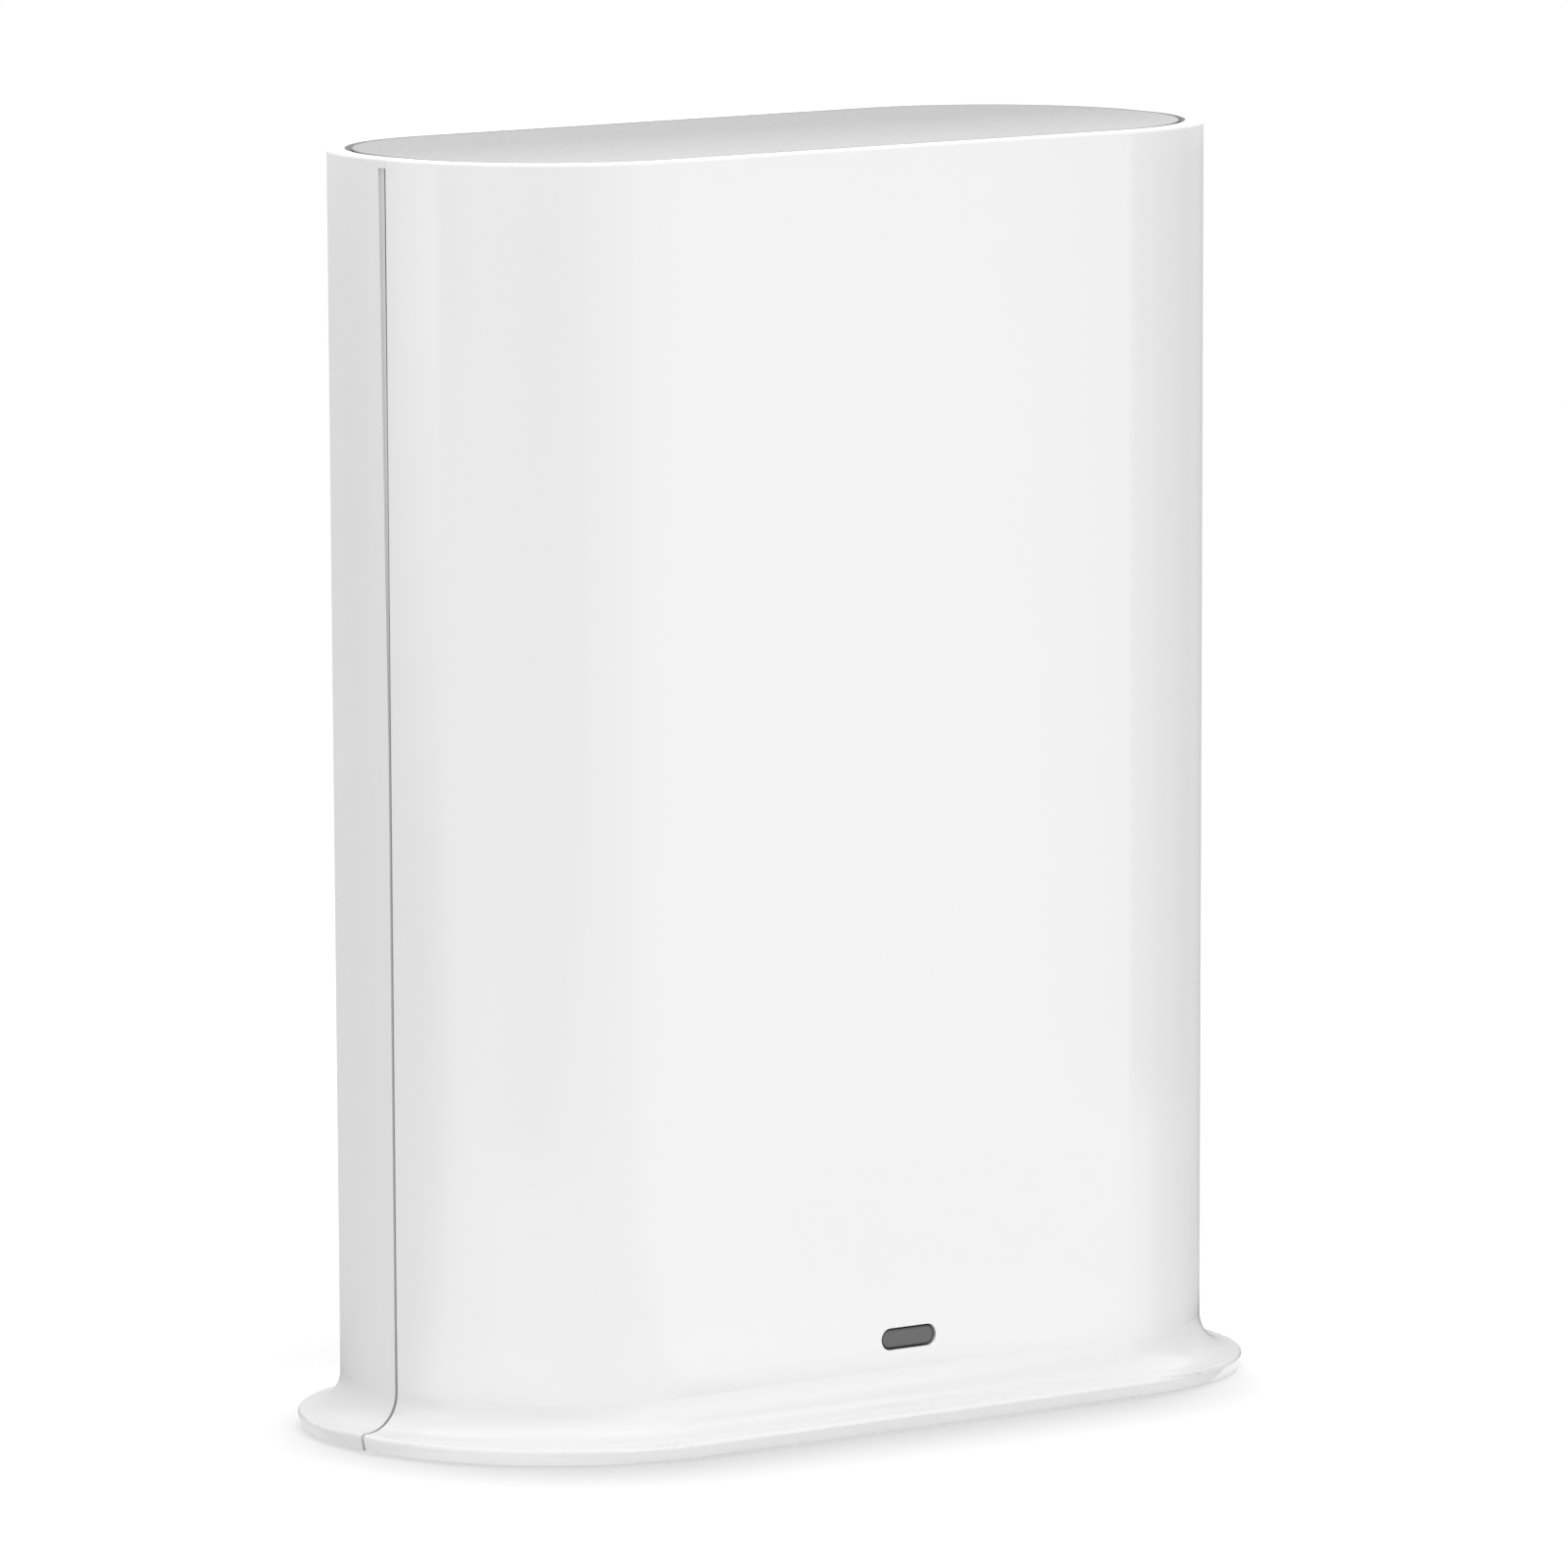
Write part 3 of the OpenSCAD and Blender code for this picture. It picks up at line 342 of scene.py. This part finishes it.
def grained(slot, level, roughness, grain, depth, edge=MOULD_EDGE, painted_shade=None):
    bench = bench_for(slot)
    place = bench.place()
    cloud = bench.noise(place, SKIN_CLOUD)
    skin = bench.noise(place, grain, detail=3.0, roughness=0.6)
    tone = bench.uneven(cloud, level, SKIN_SPREAD)
    if painted_shade:
        tone = bench.times(tone, painted_shade(bench, place))
    bench.surface({
        # Painted shade darkens the colour in narrow gaps.
        "Base Color": bench.mix(bench.shelter(CREVICE_SHADE_REACH), grey(CREVICE_SHADE_LEVEL * level), tone),
        "Roughness": roughness - 0.06 + 0.12 * skin,
        "IOR": PLASTIC_IOR,
        "Normal": bench.bump(skin, depth, bench.rounded(edge)),
    })


grained("satin_shell", 0.812, 0.36, 0.35 * MM, 0.006 * MM, painted_shade=seam_painted_shade)
# Each row is a slot with its level, roughness, size and depth of grain, and softened edge.
GRAINED_ROWS = (
    ("base_grey", 0.42, 0.5, 0.6 * MM, 0.02 * MM, MOULD_EDGE),
    ("socket_grey", 0.45, 0.48, 0.5 * MM, 0.016 * MM, MOULD_EDGE),
    ("key_grey", 0.72, 0.36, 0.4 * MM, 0.008 * MM, MOULD_EDGE),
    ("socket_black", 0.025, 0.42, 0.4 * MM, 0.01 * MM, FINE_EDGE),
    ("chip_black", 0.03, 0.55, 0.3 * MM, 0.012 * MM, FINE_EDGE),
    ("switch_body", 0.1, 0.5, 0.3 * MM, 0.01 * MM, FINE_EDGE),
    ("switch_plunger", 0.05, 0.35, 0.3 * MM, 0.006 * MM, FINE_EDGE),
    ("coil_ferrite", 0.13, 0.7, 0.25 * MM, 0.02 * MM, FINE_EDGE),
)
for row in GRAINED_ROWS:
    grained(*row)
print("grained: satin_shell,", ", ".join(row[0] for row in GRAINED_ROWS))

# %% [markdown]
# ## Top panel
# The panel in the rim is sprayed with a matt silver paint. Such paint holds tiny flakes, and each
# flake faces its own way, so the surface sparkles finely instead of shining. A cell pattern gives
# each flake its own level; a second, wider noise keeps the coat from looking printed. The coat is
# painted lighter towards the front, as painted light. Only faces that look up get the coat: the
# edge is painted near-black as painted shade of the gap, which draws the thin line inside the rim.

# %% Top panel
# Painted shade: faces that tilt further from up than this are painted near-black.
EDGE_SHADE_LEVEL = 0.03
COATED_TILT = 0.4
# Painted light: the coat grows lighter between these two depths towards the front.
FRONT_LIGHT_START = 8 * MM
FRONT_LIGHT_FULL = -28 * MM
COAT_CLOUD = 18 * MM
COAT_SOFTNESS = 0.12
FLAKE_SPREAD = 0.14
GRIT_DEPTH = 0.01 * MM


def flake_paint(slot, level, lit_front_level, flake):
    bench = bench_for(slot)
    place = bench.place()
    cloud = bench.noise(place, COAT_CLOUD)
    spark = bench.node("ShaderNodeSeparateColor", None, {0: bench.cells(place, flake, "Color")})
    grit = bench.noise(place, 2 * flake)
    # Painted light, lighter towards the front.
    front_light = bench.slope(bench.part(place, "Y"), FRONT_LIGHT_START, FRONT_LIGHT_FULL)
    coat = bench.mix(front_light, grey(level), grey(lit_front_level))
    tone = bench.times(coat, bench.uneven(spark, 1, FLAKE_SPREAD))
    facing = bench.part(bench.node("ShaderNodeNewGeometry", output="Normal"), "Z")
    sprayed = bench.mix(COAT_SOFTNESS * cloud, tone, coat)
    bench.surface({
        # Painted shade of the gap on the panel's side faces.
        "Base Color": bench.mix(facing > COATED_TILT, grey(EDGE_SHADE_LEVEL), sprayed),
        "Metallic": 0.25 + 0.3 * spark,
        "Roughness": 0.5 + 0.14 * grit,
        "Normal": bench.bump(grit, GRIT_DEPTH, bench.rounded(MOULD_EDGE)),
    })


flake_paint("top_finish", 0.274, 0.375, 0.16 * MM)
print("painted: top_finish")

# %% [markdown]
# ## Status window
# The window is a small lozenge of smoked plastic that hides the light behind it until it is on.
# Seen from outside it is dark grey and softly glossy. A clear material with a dark volume would
# do the same, but a dark body colour with a glossy skin is quicker and looks alike when the
# light is off. A black border is painted along its edge as painted shade of the gap round the
# window, where the distance from the middle line of the lozenge nears its half height.

# %% Status window
LENS_HEIGHT = 11.8 * MM
LENS_STRAIGHT = 3.25 * MM
LENS_ROUND = 1.25 * MM
# Painted shade of the gap round the window: a dark band of this width and share.
LENS_SHADE_WIDTH = 0.3 * MM
LENS_SHADE_LEVEL = 0.1
SMOKE_CLOUD = 2 * MM
SMOKE_GRIT = 0.15 * MM
SMOKE_DEPTH = 0.003 * MM
SMOKE_SPREAD = 0.2
SMOKE_IOR = 1.5


def smoked(slot, level):
    bench = bench_for(slot)
    place = bench.place()
    cloud = bench.noise(place, SMOKE_CLOUD)
    grit = bench.noise(place, SMOKE_GRIT, detail=3.0)
    flat = bench.vector("MULTIPLY", place, (1, 0, 1))
    from_line = bench.reach(bench.vector("ADD", flat, (0, 0, -LENS_HEIGHT)), (LENS_STRAIGHT, 0, 0))
    gap_shade = bench.slope(from_line, LENS_ROUND - LENS_SHADE_WIDTH, LENS_ROUND - 0.5 * LENS_SHADE_WIDTH)
    pane = bench.uneven(grit, level, SMOKE_SPREAD)
    bench.surface({
        "Base Color": bench.mix(gap_shade, pane, grey(LENS_SHADE_LEVEL * level)),
        "Roughness": 0.2 + 0.06 * cloud + 0.1 * grit,
        "IOR": SMOKE_IOR,
        "Normal": bench.bump(grit, SMOKE_DEPTH, bench.rounded(MOULD_EDGE)),
    })


smoked("smoked_lens", 0.066)
print("made: smoked_lens")

# %% [markdown]
# ## Light pipe and light
# Behind the window a clear rod leads the light forward from a small lamp on the board, which is a
# yellow drop of phosphor when it is off. The rod could be see-through paint on its surface, but a
# clear material bends what is seen through it as the real rod does. A faint haze keeps it from
# looking like glass.

# %% Light pipe and light
PIPE_HAZE = 3 * MM
PIPE_IOR = 1.49
PHOSPHOR_GRAIN = 0.2 * MM


def clear_moulding(slot):
    bench = bench_for(slot)
    haze = bench.noise(bench.place(), PIPE_HAZE)
    bench.surface({
        "Base Color": bench.mix(haze, (0.86, 0.92, 0.92, 1), (0.93, 0.96, 0.96, 1)),
        "Roughness": 0.04 + 0.05 * haze,
        "Transmission Weight": 1.0,
        "IOR": PIPE_IOR,
    })


def phosphor(slot):
    bench = bench_for(slot)
    grit = bench.noise(bench.place(), PHOSPHOR_GRAIN)
    bench.surface({
        "Base Color": bench.mix(grit, (0.86, 0.78, 0.40, 1), (0.94, 0.88, 0.58, 1)),
        "Roughness": 0.35 + 0.2 * grit,
    })


clear_moulding("clear_pipe")
phosphor("led_package")
print("made: clear_pipe, led_package")

# %% [markdown]
# ## Metals
# The sockets are folded from tinned sheet, the screws are zinc plated and the contacts have a thin
# coat of gold. Bare metal could be one mirror-like material, but each process leaves its own
# marks: rolling leaves long streaks, plating leaves soft clouds and small pits. Streaks are noise
# that is stretched along one direction, and clouds are noise that isn't.

# %% Metals
ALONG_Y = (1, 0.04, 1)
ALONG_Z = (1, 1, 0.04)
STREAK_WIDTH = 0.15 * MM
STREAK_DEPTH = 0.003 * MM
STREAK_DULL = 0.86
SHEET_CLOUD = 4 * MM
SHEET_EDGE = 0.05 * MM
PLATE_CLOUD = 1.5 * MM
PLATE_DULL = 0.84
PLATE_EDGE = 0.04 * MM
PIT_SIZE = 0.3 * MM
PIT_DEPTH = 0.004 * MM


def streaked_metal(slot, colour, roughness, along):
    bench = bench_for(slot)
    place = bench.place()
    streak = bench.noise(bench.vector("MULTIPLY", place, along), STREAK_WIDTH, detail=3.0)
    cloud = bench.noise(place, SHEET_CLOUD)
    bench.surface({
        "Base Color": bench.mix(streak, scaled(colour, STREAK_DULL), colour),
        "Metallic": 1.0,
        "Roughness": roughness - 0.08 + 0.16 * streak + 0.06 * cloud,
        "Normal": bench.bump(streak, STREAK_DEPTH, bench.rounded(SHEET_EDGE)),
    })


def plated_metal(slot, colour, roughness):
    bench = bench_for(slot)
    place = bench.place()
    cloud = bench.noise(place, PLATE_CLOUD, detail=3.0)
    pits = bench.cells(place, PIT_SIZE)
    bench.surface({
        "Base Color": bench.mix(cloud, scaled(colour, PLATE_DULL), colour),
        "Metallic": 1.0,
        "Roughness": roughness - 0.06 + 0.14 * cloud,
        "Normal": bench.bump(pits, PIT_DEPTH, bench.rounded(PLATE_EDGE)),
    })


streaked_metal("tinned_sheet", (0.72, 0.71, 0.68, 1), 0.32, ALONG_Y)
streaked_metal("sink_aluminium", (0.74, 0.75, 0.76, 1), 0.38, ALONG_Z)
plated_metal("screw_steel", (0.66, 0.66, 0.64, 1), 0.34)
plated_metal("contact_gold", (0.86, 0.66, 0.30, 1), 0.24)
plated_metal("pin_nickel", (0.68, 0.67, 0.63, 1), 0.22)
plated_metal("antenna_foil", (0.75, 0.47, 0.26, 1), 0.3)
print("made: tinned_sheet, sink_aluminium, screw_steel, contact_gold, pin_nickel, antenna_foil")

# %% [markdown]
# ## Rubber and sleeves
# The pads under the foot are matt rubber with a cloudy, dusty skin, and the soft pad on the
# processor is much like them. The leads and the capacitors wear thin sleeves with faint wrinkles.
# One even colour would be quicker and would look like paint, so the bloom on the rubber and the
# wrinkles of the sleeves come from noise.

# %% Rubber and sleeves
BLOOM_SIZE = 3 * MM
BLOOM_DARK = 0.85
BLOOM_LIGHT = 1.2
RUBBER_DEPTH = 0.015 * MM
SLEEVE_CLOUD = 5 * MM
SLEEVE_LIGHT = 1.25
SLEEVE_DEPTH = 0.02 * MM


def rubber(slot, level, roughness, grain):
    bench = bench_for(slot)
    place = bench.place()
    bloom = bench.noise(place, BLOOM_SIZE, detail=3.0)
    skin = bench.noise(place, grain)
    bench.surface({
        "Base Color": bench.mix(bloom, grey(level * BLOOM_DARK), grey(level * BLOOM_LIGHT)),
        "Roughness": roughness - 0.05 + 0.1 * bloom,
        "Normal": bench.bump(skin, RUBBER_DEPTH, bench.rounded(MOULD_EDGE)),
    })


def sleeve(slot, colour):
    bench = bench_for(slot)
    cloud = bench.noise(bench.place(), SLEEVE_CLOUD)
    bench.surface({
        "Base Color": bench.mix(cloud, colour, scaled(colour, SLEEVE_LIGHT)),
        "Roughness": 0.3 + 0.12 * cloud,
        "Normal": bench.bump(cloud, SLEEVE_DEPTH, bench.rounded(FINE_EDGE)),
    })


rubber("pad_rubber", 0.09, 0.78, 0.35 * MM)
rubber("gap_pad", 0.5, 0.7, 0.5 * MM)
sleeve("capacitor_sleeve", (0.05, 0.09, 0.30, 1))
sleeve("lead_sleeve", (0.03, 0.03, 0.03, 1))
print("made: pad_rubber, gap_pad, capacitor_sleeve, lead_sleeve")

# %% [markdown]
# ## Circuit board
# The board is glass cloth under green lacquer: the weave shows faintly through it, and copper
# tracks stand out as slightly lighter lines. A drawn layout could give real tracks, but the board
# is out of sight, so the joints of a brick pattern do.

# %% Circuit board
WEAVE_SIZE = 1.2 * MM
WEAVE_WANDER = 2.0
TRACK_BLOCK = 14 * MM
TRACK_WIDTH = 0.012
TRACK_DEPTH = 0.03 * MM


def lacquered_board(slot):
    bench = bench_for(slot)
    place = bench.place()
    threads = {"Vector": place, "Scale": 1 / WEAVE_SIZE, "Distortion": WEAVE_WANDER}
    weave = bench.node("ShaderNodeTexWave", None, threads, "Fac")
    flat = bench.vector("MULTIPLY", place, (1, 0, 1))
    blocks = {"Vector": flat, "Scale": 1 / TRACK_BLOCK, "Mortar Size": TRACK_WIDTH}
    tracks = bench.node("ShaderNodeTexBrick", None, blocks, "Fac")
    bare = bench.mix(weave, (0.018, 0.13, 0.055, 1), (0.022, 0.16, 0.07, 1))
    bench.surface({
        "Base Color": bench.mix(tracks, bare, (0.045, 0.26, 0.12, 1)),
        "Roughness": 0.28 + 0.1 * weave,
        "Normal": bench.bump(tracks, TRACK_DEPTH, bench.rounded(FINE_EDGE)),
    })


lacquered_board("board_laminate")
print("made: board_laminate")

# %% [markdown]
# ## Room
# A white object on white needs gentle light, or it turns into one flat patch. The room is an even
# fill. It could be lit at full white, but then the walls would lose their shading, so the fill is
# dimmer and only the camera, mirrors and glass see it as plain white.

# %% Room
ROOM_FILL = 0.73
CAMERA_RAY = "Is Camera Ray"
GLOSSY_RAY = "Is Glossy Ray"
GLASS_RAY = "Is Transmission Ray"


def seen(bench, kinds):
    """1 for the given kinds of ray, otherwise 0."""
    unseen = 1.0
    for kind in kinds:
        unseen = unseen * (1 - bench.node("ShaderNodeLightPath", output=kind))
    return 1 - unseen


world = bpy.data.worlds.new("room")
bpy.context.scene.world = world
room = Bench(world)
fill = room.node("ShaderNodeBackground", None, {"Color": grey(1), "Strength": ROOM_FILL})
white = room.node("ShaderNodeBackground", None, {"Color": grey(1), "Strength": 1.0})
shown = seen(room, (CAMERA_RAY, GLOSSY_RAY, GLASS_RAY))
sky = room.node("ShaderNodeMixShader", None, {0: shown, 1: fill, 2: white})
room.node("ShaderNodeOutputWorld", None, {"Surface": sky})
print("room fill:", ROOM_FILL)

# %% [markdown]
# ## Floor
# The floor is a round sheet that the camera sees slightly lighter than it is lit, so that it runs
# into the white room without an edge and still keeps the shadow of the foot. Lamps as large as
# these leave only a faint shadow. Smaller ones would give a darker one, and hard lights on the
# case with it, so a painted shadow is tinted into the sheet in front of the foot instead. Beside
# the ends of the foot and in the thin gap under it, painted light makes the sheet lighter to the
# camera than the real shadow there. From below the camera looks through the sheet, which leaves
# the underside of the case in view.

# %% Floor
FLOOR_RADIUS = 0.8
FLOOR_STEPS = 96
FLOOR_LEVEL = 0.93
FLOOR_GLOW = 0.08
# Painted shadow tinted into the floor in front of the foot, seen by the camera alone.
FOOT_SHADE = 0.7
FOOT_SHADE_WIDTH = 25 * MM
FOOT_SHADE_SHIFT = (6.7 * MM, 9 * MM, 0)
FOOT_SHADE_SHORT = 4.7 * MM
FOOT_SHADE_ROUND = 26 * MM
FOOT_ROUND = 33 * MM
# Painted light: the floor glows faintly near the foot for every ray but the camera's.
FOOT_PAINTED_LIGHT = 0.07
FOOT_PAINTED_LIGHT_WIDTH = 30 * MM
# Painted light that the camera sees beside the ends of the foot and in the gap under it.
SIDE_GLOW = 0.14
UNDER_GLOW = 0.62
UNDER_EDGE = 1 * MM


def stage_piece(name, points, faces):
    """Mesh object that belongs to the studio and not to the base station."""
    mesh = bpy.data.meshes.new(name)
    mesh.from_pydata(points, [], faces)
    piece = bpy.data.objects.new(name, mesh)
    bpy.context.scene.collection.objects.link(piece)
    mesh.materials.append(bpy.data.materials.new(name + "_paint"))
    return piece


turns = [2 * math.pi * step / FLOOR_STEPS for step in range(FLOOR_STEPS)]
outline = [(FLOOR_RADIUS * math.cos(turn), FLOOR_RADIUS * math.sin(turn), 0) for turn in turns]
floor = stage_piece("floor", outline, [range(FLOOR_STEPS)])
foot_half = [float(side) for side in cad_box[1]]
straight_sides = (foot_half[0] - FOOT_ROUND, foot_half[1] - FOOT_ROUND, 0)
shade_sides = (straight_sides[0] - FOOT_SHADE_SHORT, straight_sides[1], 0)
print("floor radius:", FLOOR_RADIUS)
print("half sides of the foot in mm:", [round(side / MM, 2) for side in foot_half[:2]])

# %% [markdown]
# The paint of the floor tells camera rays from all others. The camera sees the painted shadow and
# a glow, which is even over the sheet and is painted light beside and under the foot; other rays
# see plain paper and, close to the foot, a faint glow of painted light that lifts the lower walls
# as a brighter table would. Two floors could do it, one for each kind of ray, but one material
# with a Light Path node keeps the painted shadow and the painted light in one place.

# %% Paint of the floor
paint = Bench(floor.data.materials[0])
place = paint.place()
from_shade = paint.reach(paint.vector("ADD", place, FOOT_SHADE_SHIFT), shade_sides)
from_foot = paint.reach(place, straight_sides)
beside = paint.slope(from_shade, FOOT_SHADE_ROUND, FOOT_SHADE_ROUND + FOOT_SHADE_WIDTH)
under = paint.slope(from_foot, FOOT_ROUND, FOOT_ROUND - UNDER_EDGE)
near = paint.slope(from_foot, FOOT_ROUND + FOOT_PAINTED_LIGHT_WIDTH, FOOT_ROUND)
camera_sees = seen(paint, (CAMERA_RAY,))
paper = paint.mix(camera_sees * (1 - beside), grey(FLOOR_LEVEL), grey(FOOT_SHADE * FLOOR_LEVEL))
matt = paint.node("ShaderNodeBsdfDiffuse", None, {"Color": paper})
around = paint.mix(near * beside, grey(FLOOR_GLOW), grey(FLOOR_GLOW + SIDE_GLOW))
camera_glow = paint.mix(under, around, grey(UNDER_GLOW))
glow = paint.node("ShaderNodeEmission", None, {"Color": camera_glow})
foot_glow = paint.mix(near, grey(0), grey(FOOT_PAINTED_LIGHT))
near_foot_light = paint.node("ShaderNodeEmission", None, {"Color": foot_glow})
lift = paint.node("ShaderNodeMixShader", None, {0: camera_sees, 1: near_foot_light, 2: glow})
top_side = paint.node("ShaderNodeAddShader", None, {0: matt, 1: lift})
from_below = camera_sees * paint.node("ShaderNodeNewGeometry", output="Backfacing")
clear = paint.node("ShaderNodeBsdfTransparent")
sheet = paint.node("ShaderNodeMixShader", None, {0: from_below, 1: top_side, 2: clear})
paint.node("ShaderNodeOutputMaterial", None, {"Surface": sheet})
print("painted: floor, with", len(paint.tree.nodes), "nodes")

# %% [markdown]
# ## Lamps
# One large soft lamp hangs above, and a second one stands high in front, a little to the left;
# the floor throws their light back at the walls. A sun would be simpler, but its shadows have
# hard edges. Polished plastic would mirror the lamps as squares, so reflections don't see them.

# %% Lamps


def softbox(name, azimuth, elevation, distance, side, brightness):
    """Square lamp that faces the middle of the case; azimuth turns to the left of the front."""
    light = bpy.data.lights.new(name, "AREA")
    light.size = side
    light.energy = brightness * math.pi * side ** 2
    lamp = bpy.data.objects.new(name, light)
    _, _, away = camera_axes(-math.radians(azimuth), math.radians(elevation), 0)
    hung = Matrix.Translation(Vector((0, 0, AIM_HEIGHT)) + away * distance)
    lamp.matrix_world = hung @ away.to_track_quat("Z", "Y").to_matrix().to_4x4()
    lamp.visible_camera = False
    lamp.visible_glossy = False
    bpy.context.scene.collection.objects.link(lamp)


softbox("top_lamp", azimuth=0, elevation=89, distance=1.6, side=1.4, brightness=1.9)
softbox("front_lamp", azimuth=12, elevation=52, distance=2.0, side=1.0, brightness=1.4)
print("lamps: top_lamp, front_lamp")

# %% [markdown]
# ## Boards to reflect
# What makes polished plastic look polished is what it mirrors. A photographer stands white boards
# round such an object: here a bright one to the right of the front and a dimmer one beside it,
# then a gap to look through, and a board on the left that is lit from above. To the right of the
# bright board it is dark, which gives the white edge its shape. They could be many lamps, but one
# ring does it: a round net whose corners carry a brightness, seen by glossy rays alone.

# %% Boards to reflect
# Each knot is an azimuth to the left of the front in degrees, with the brightness there.
BOARDS_LOW = (
    (-180, 0.65), (-140, 0.65), (-100, 0.4), (-84, 0.0), (-64, 0.0), (-50, 0.6), (-41, 2.2),
    (-38.5, 2.6), (-3, 2.45), (5, 1.75), (28, 1.5), (36, 1.55), (60, 1.55), (68, 1.8), (84, 1.8),
    (92, 1.5), (96, 1.15), (104, 0.35), (112, 0.0), (140, 0.0), (150, 0.2), (165, 0.6), (180, 0.65),
)
BOARDS_HIGH = (
    (-180, 0.65), (-140, 0.65), (-100, 0.5), (-84, 0.1), (-64, 0.1), (-50, 0.6), (-41, 2.3),
    (-38.5, 2.7), (-3, 2.7), (8, 2.0), (24, 1.5), (60, 1.6), (90, 2.2), (100, 2.6), (110, 2.2),
    (122, 1.5), (136, 0.2), (150, 0.25), (165, 0.6), (180, 0.65),
)
BOARDS_FLOOR = (
    (-180, 0.65), (-140, 0.65), (-100, 0.4), (-80, 0.2), (-64, 0.4), (-42, 2.4), (0, 2.5), (6, 1.9),
    (30, 1.7), (70, 2.1), (94, 1.75), (104, 0.65), (114, 0.05), (140, 0.1), (150, 0.3), (165, 0.6),
    (180, 0.65),
)
BOARDS_CEILING = (
    (-180, 1.5), (-100, 1.2), (-50, 1.0), (-41, 2.2), (0, 2.2), (40, 1.8), (110, 1.8), (140, 1.5),
    (180, 1.5),
)
BOARDS_LID = ((-180, 2.5), (-100, 2.0), (-50, 1.6), (-41, 2.5), (180, 2.5))
GAP = ((27, 0.98), (52, 0.98), (60, 1.2), (68, 1.32), (76, 1.5), (84, 1.5), (99, 1.5))
GAP_MIDDLE = 63
GAP_HALF = 36
GAP_RISE = 52 * MM
GAP_BEND = 2.8
LOW_BOARD = 40 * MM
HIGH_BOARD = 140 * MM
CEILING = 165 * MM


def at_knots(knots, azimuth):
    return float(np.interp(azimuth, *zip(*knots)))


def board_level(azimuth, height):
    """Brightness of the ring at an azimuth and a height."""
    if height >= CEILING:
        return at_knots(BOARDS_CEILING, azimuth)
    side = abs(azimuth - GAP_MIDDLE) / GAP_HALF
    if side < 1 and height > GAP_RISE * side ** GAP_BEND:
        return at_knots(GAP, azimuth)
    share = min(max((height - LOW_BOARD) / (HIGH_BOARD - LOW_BOARD), 0), 1)
    return (1 - share) * at_knots(BOARDS_LOW, azimuth) + share * at_knots(BOARDS_HIGH, azimuth)


print("brightness in front at half height:", round(board_level(0, 0.5 * CEILING), 2))

# %% [markdown]
# The net starts on the floor along the foot, goes up the ring and closes over the case. The floor
# is part of what is mirrored: close to the foot it lies in the shade of the foot itself, so the
# net starts dark there and brightens with the distance from it.

# %% Net of boards
BOARD_RADIUS = 300 * MM
SHEET_GAP = 0.2 * MM
# Distance from the foot, and the share of the floor's brightness there.
SHADE_STEPS = ((0, 0), (13 * MM, 0), (40 * MM, 1.2), (62 * MM, 1.2), (105 * MM, 1))
FOOT_POWER = 4
TURN_STEP = 2
ROW_STEP = 4 * MM
FINE_ROWS = 20
HIGH_ROWS = (90 * MM, 105 * MM, 120 * MM, 140 * MM, 150 * MM, CEILING, 350 * MM)
LID_OUTER = 0.95 * BOARD_RADIUS
LID_INNER = 0.01 * BOARD_RADIUS
LID_MIDDLE = 2.7


def foot_reach(turn):
    """Distance from the middle to the outline of the foot in a direction."""
    across = abs(math.sin(turn) / foot_half[0]) ** FOOT_POWER
    along = abs(math.cos(turn) / foot_half[1]) ** FOOT_POWER
    return (across + along) ** (-1 / FOOT_POWER)


def board_column(azimuth, heights):
    """Places and levels of the net at one azimuth, from the foot to the middle of the lid."""
    turn = math.radians(azimuth)
    lit = at_knots(BOARDS_FLOOR, azimuth)
    column = [(foot_reach(turn) + offset, SHEET_GAP, share * lit) for offset, share in SHADE_STEPS]
    column.append((BOARD_RADIUS, SHEET_GAP, lit))
    column += [(BOARD_RADIUS, height, board_level(azimuth, height)) for height in heights]
    column.append((LID_OUTER, heights[-1], at_knots(BOARDS_LID, azimuth)))
    column.append((LID_INNER, heights[-1], LID_MIDDLE))
    return [
        ((-radius * math.sin(turn), -radius * math.cos(turn), height), shine)
        for radius, height, shine in column
    ]


rows = [row * ROW_STEP for row in range(1, FINE_ROWS + 1)] + list(HIGH_ROWS)
columns = [board_column(azimuth, rows) for azimuth in range(-180, 180 + TURN_STEP, TURN_STEP)]
corners = [corner for column in columns for corner, _ in column]
levels = [shine for column in columns for _, shine in column]
tall = len(columns[0])
squares = [
    (start + row, start + row + 1, start + tall + row + 1, start + tall + row)
    for start in range(0, len(corners) - tall, tall)
    for row in range(tall - 1)
]
boards = stage_piece("boards", corners, squares)
boards.data.attributes.new("brightness", "FLOAT", "POINT").data.foreach_set("value", levels)
for kind in ("camera", "diffuse", "transmission", "volume_scatter", "shadow"):
    setattr(boards, "visible_" + kind, False)
print("boards:", len(squares), "squares")

# %% [markdown]
# The boards glow with the brightness that the corners of the net carry. A picture could hold the
# same levels, but they change slowly, so corners are enough. Blender usually aims light rays at
# whatever glows; these boards are there for reflections alone, so that is switched off.

# %% Paint of the boards
board_paint = boards.data.materials[0]
board_paint.cycles.emission_sampling = "NONE"
paint = Bench(board_paint)
shine = paint.node("ShaderNodeAttribute", {"attribute_name": "brightness"})
lit_board = paint.node("ShaderNodeEmission", None, {"Color": shine})
paint.node("ShaderNodeOutputMaterial", None, {"Surface": lit_board})
print("brightest board:", max(levels))

# %% [markdown]
# ## Close
# The colours are shown as they are, without a film look.

# %% Close
bpy.context.scene.view_settings.view_transform = "Standard"
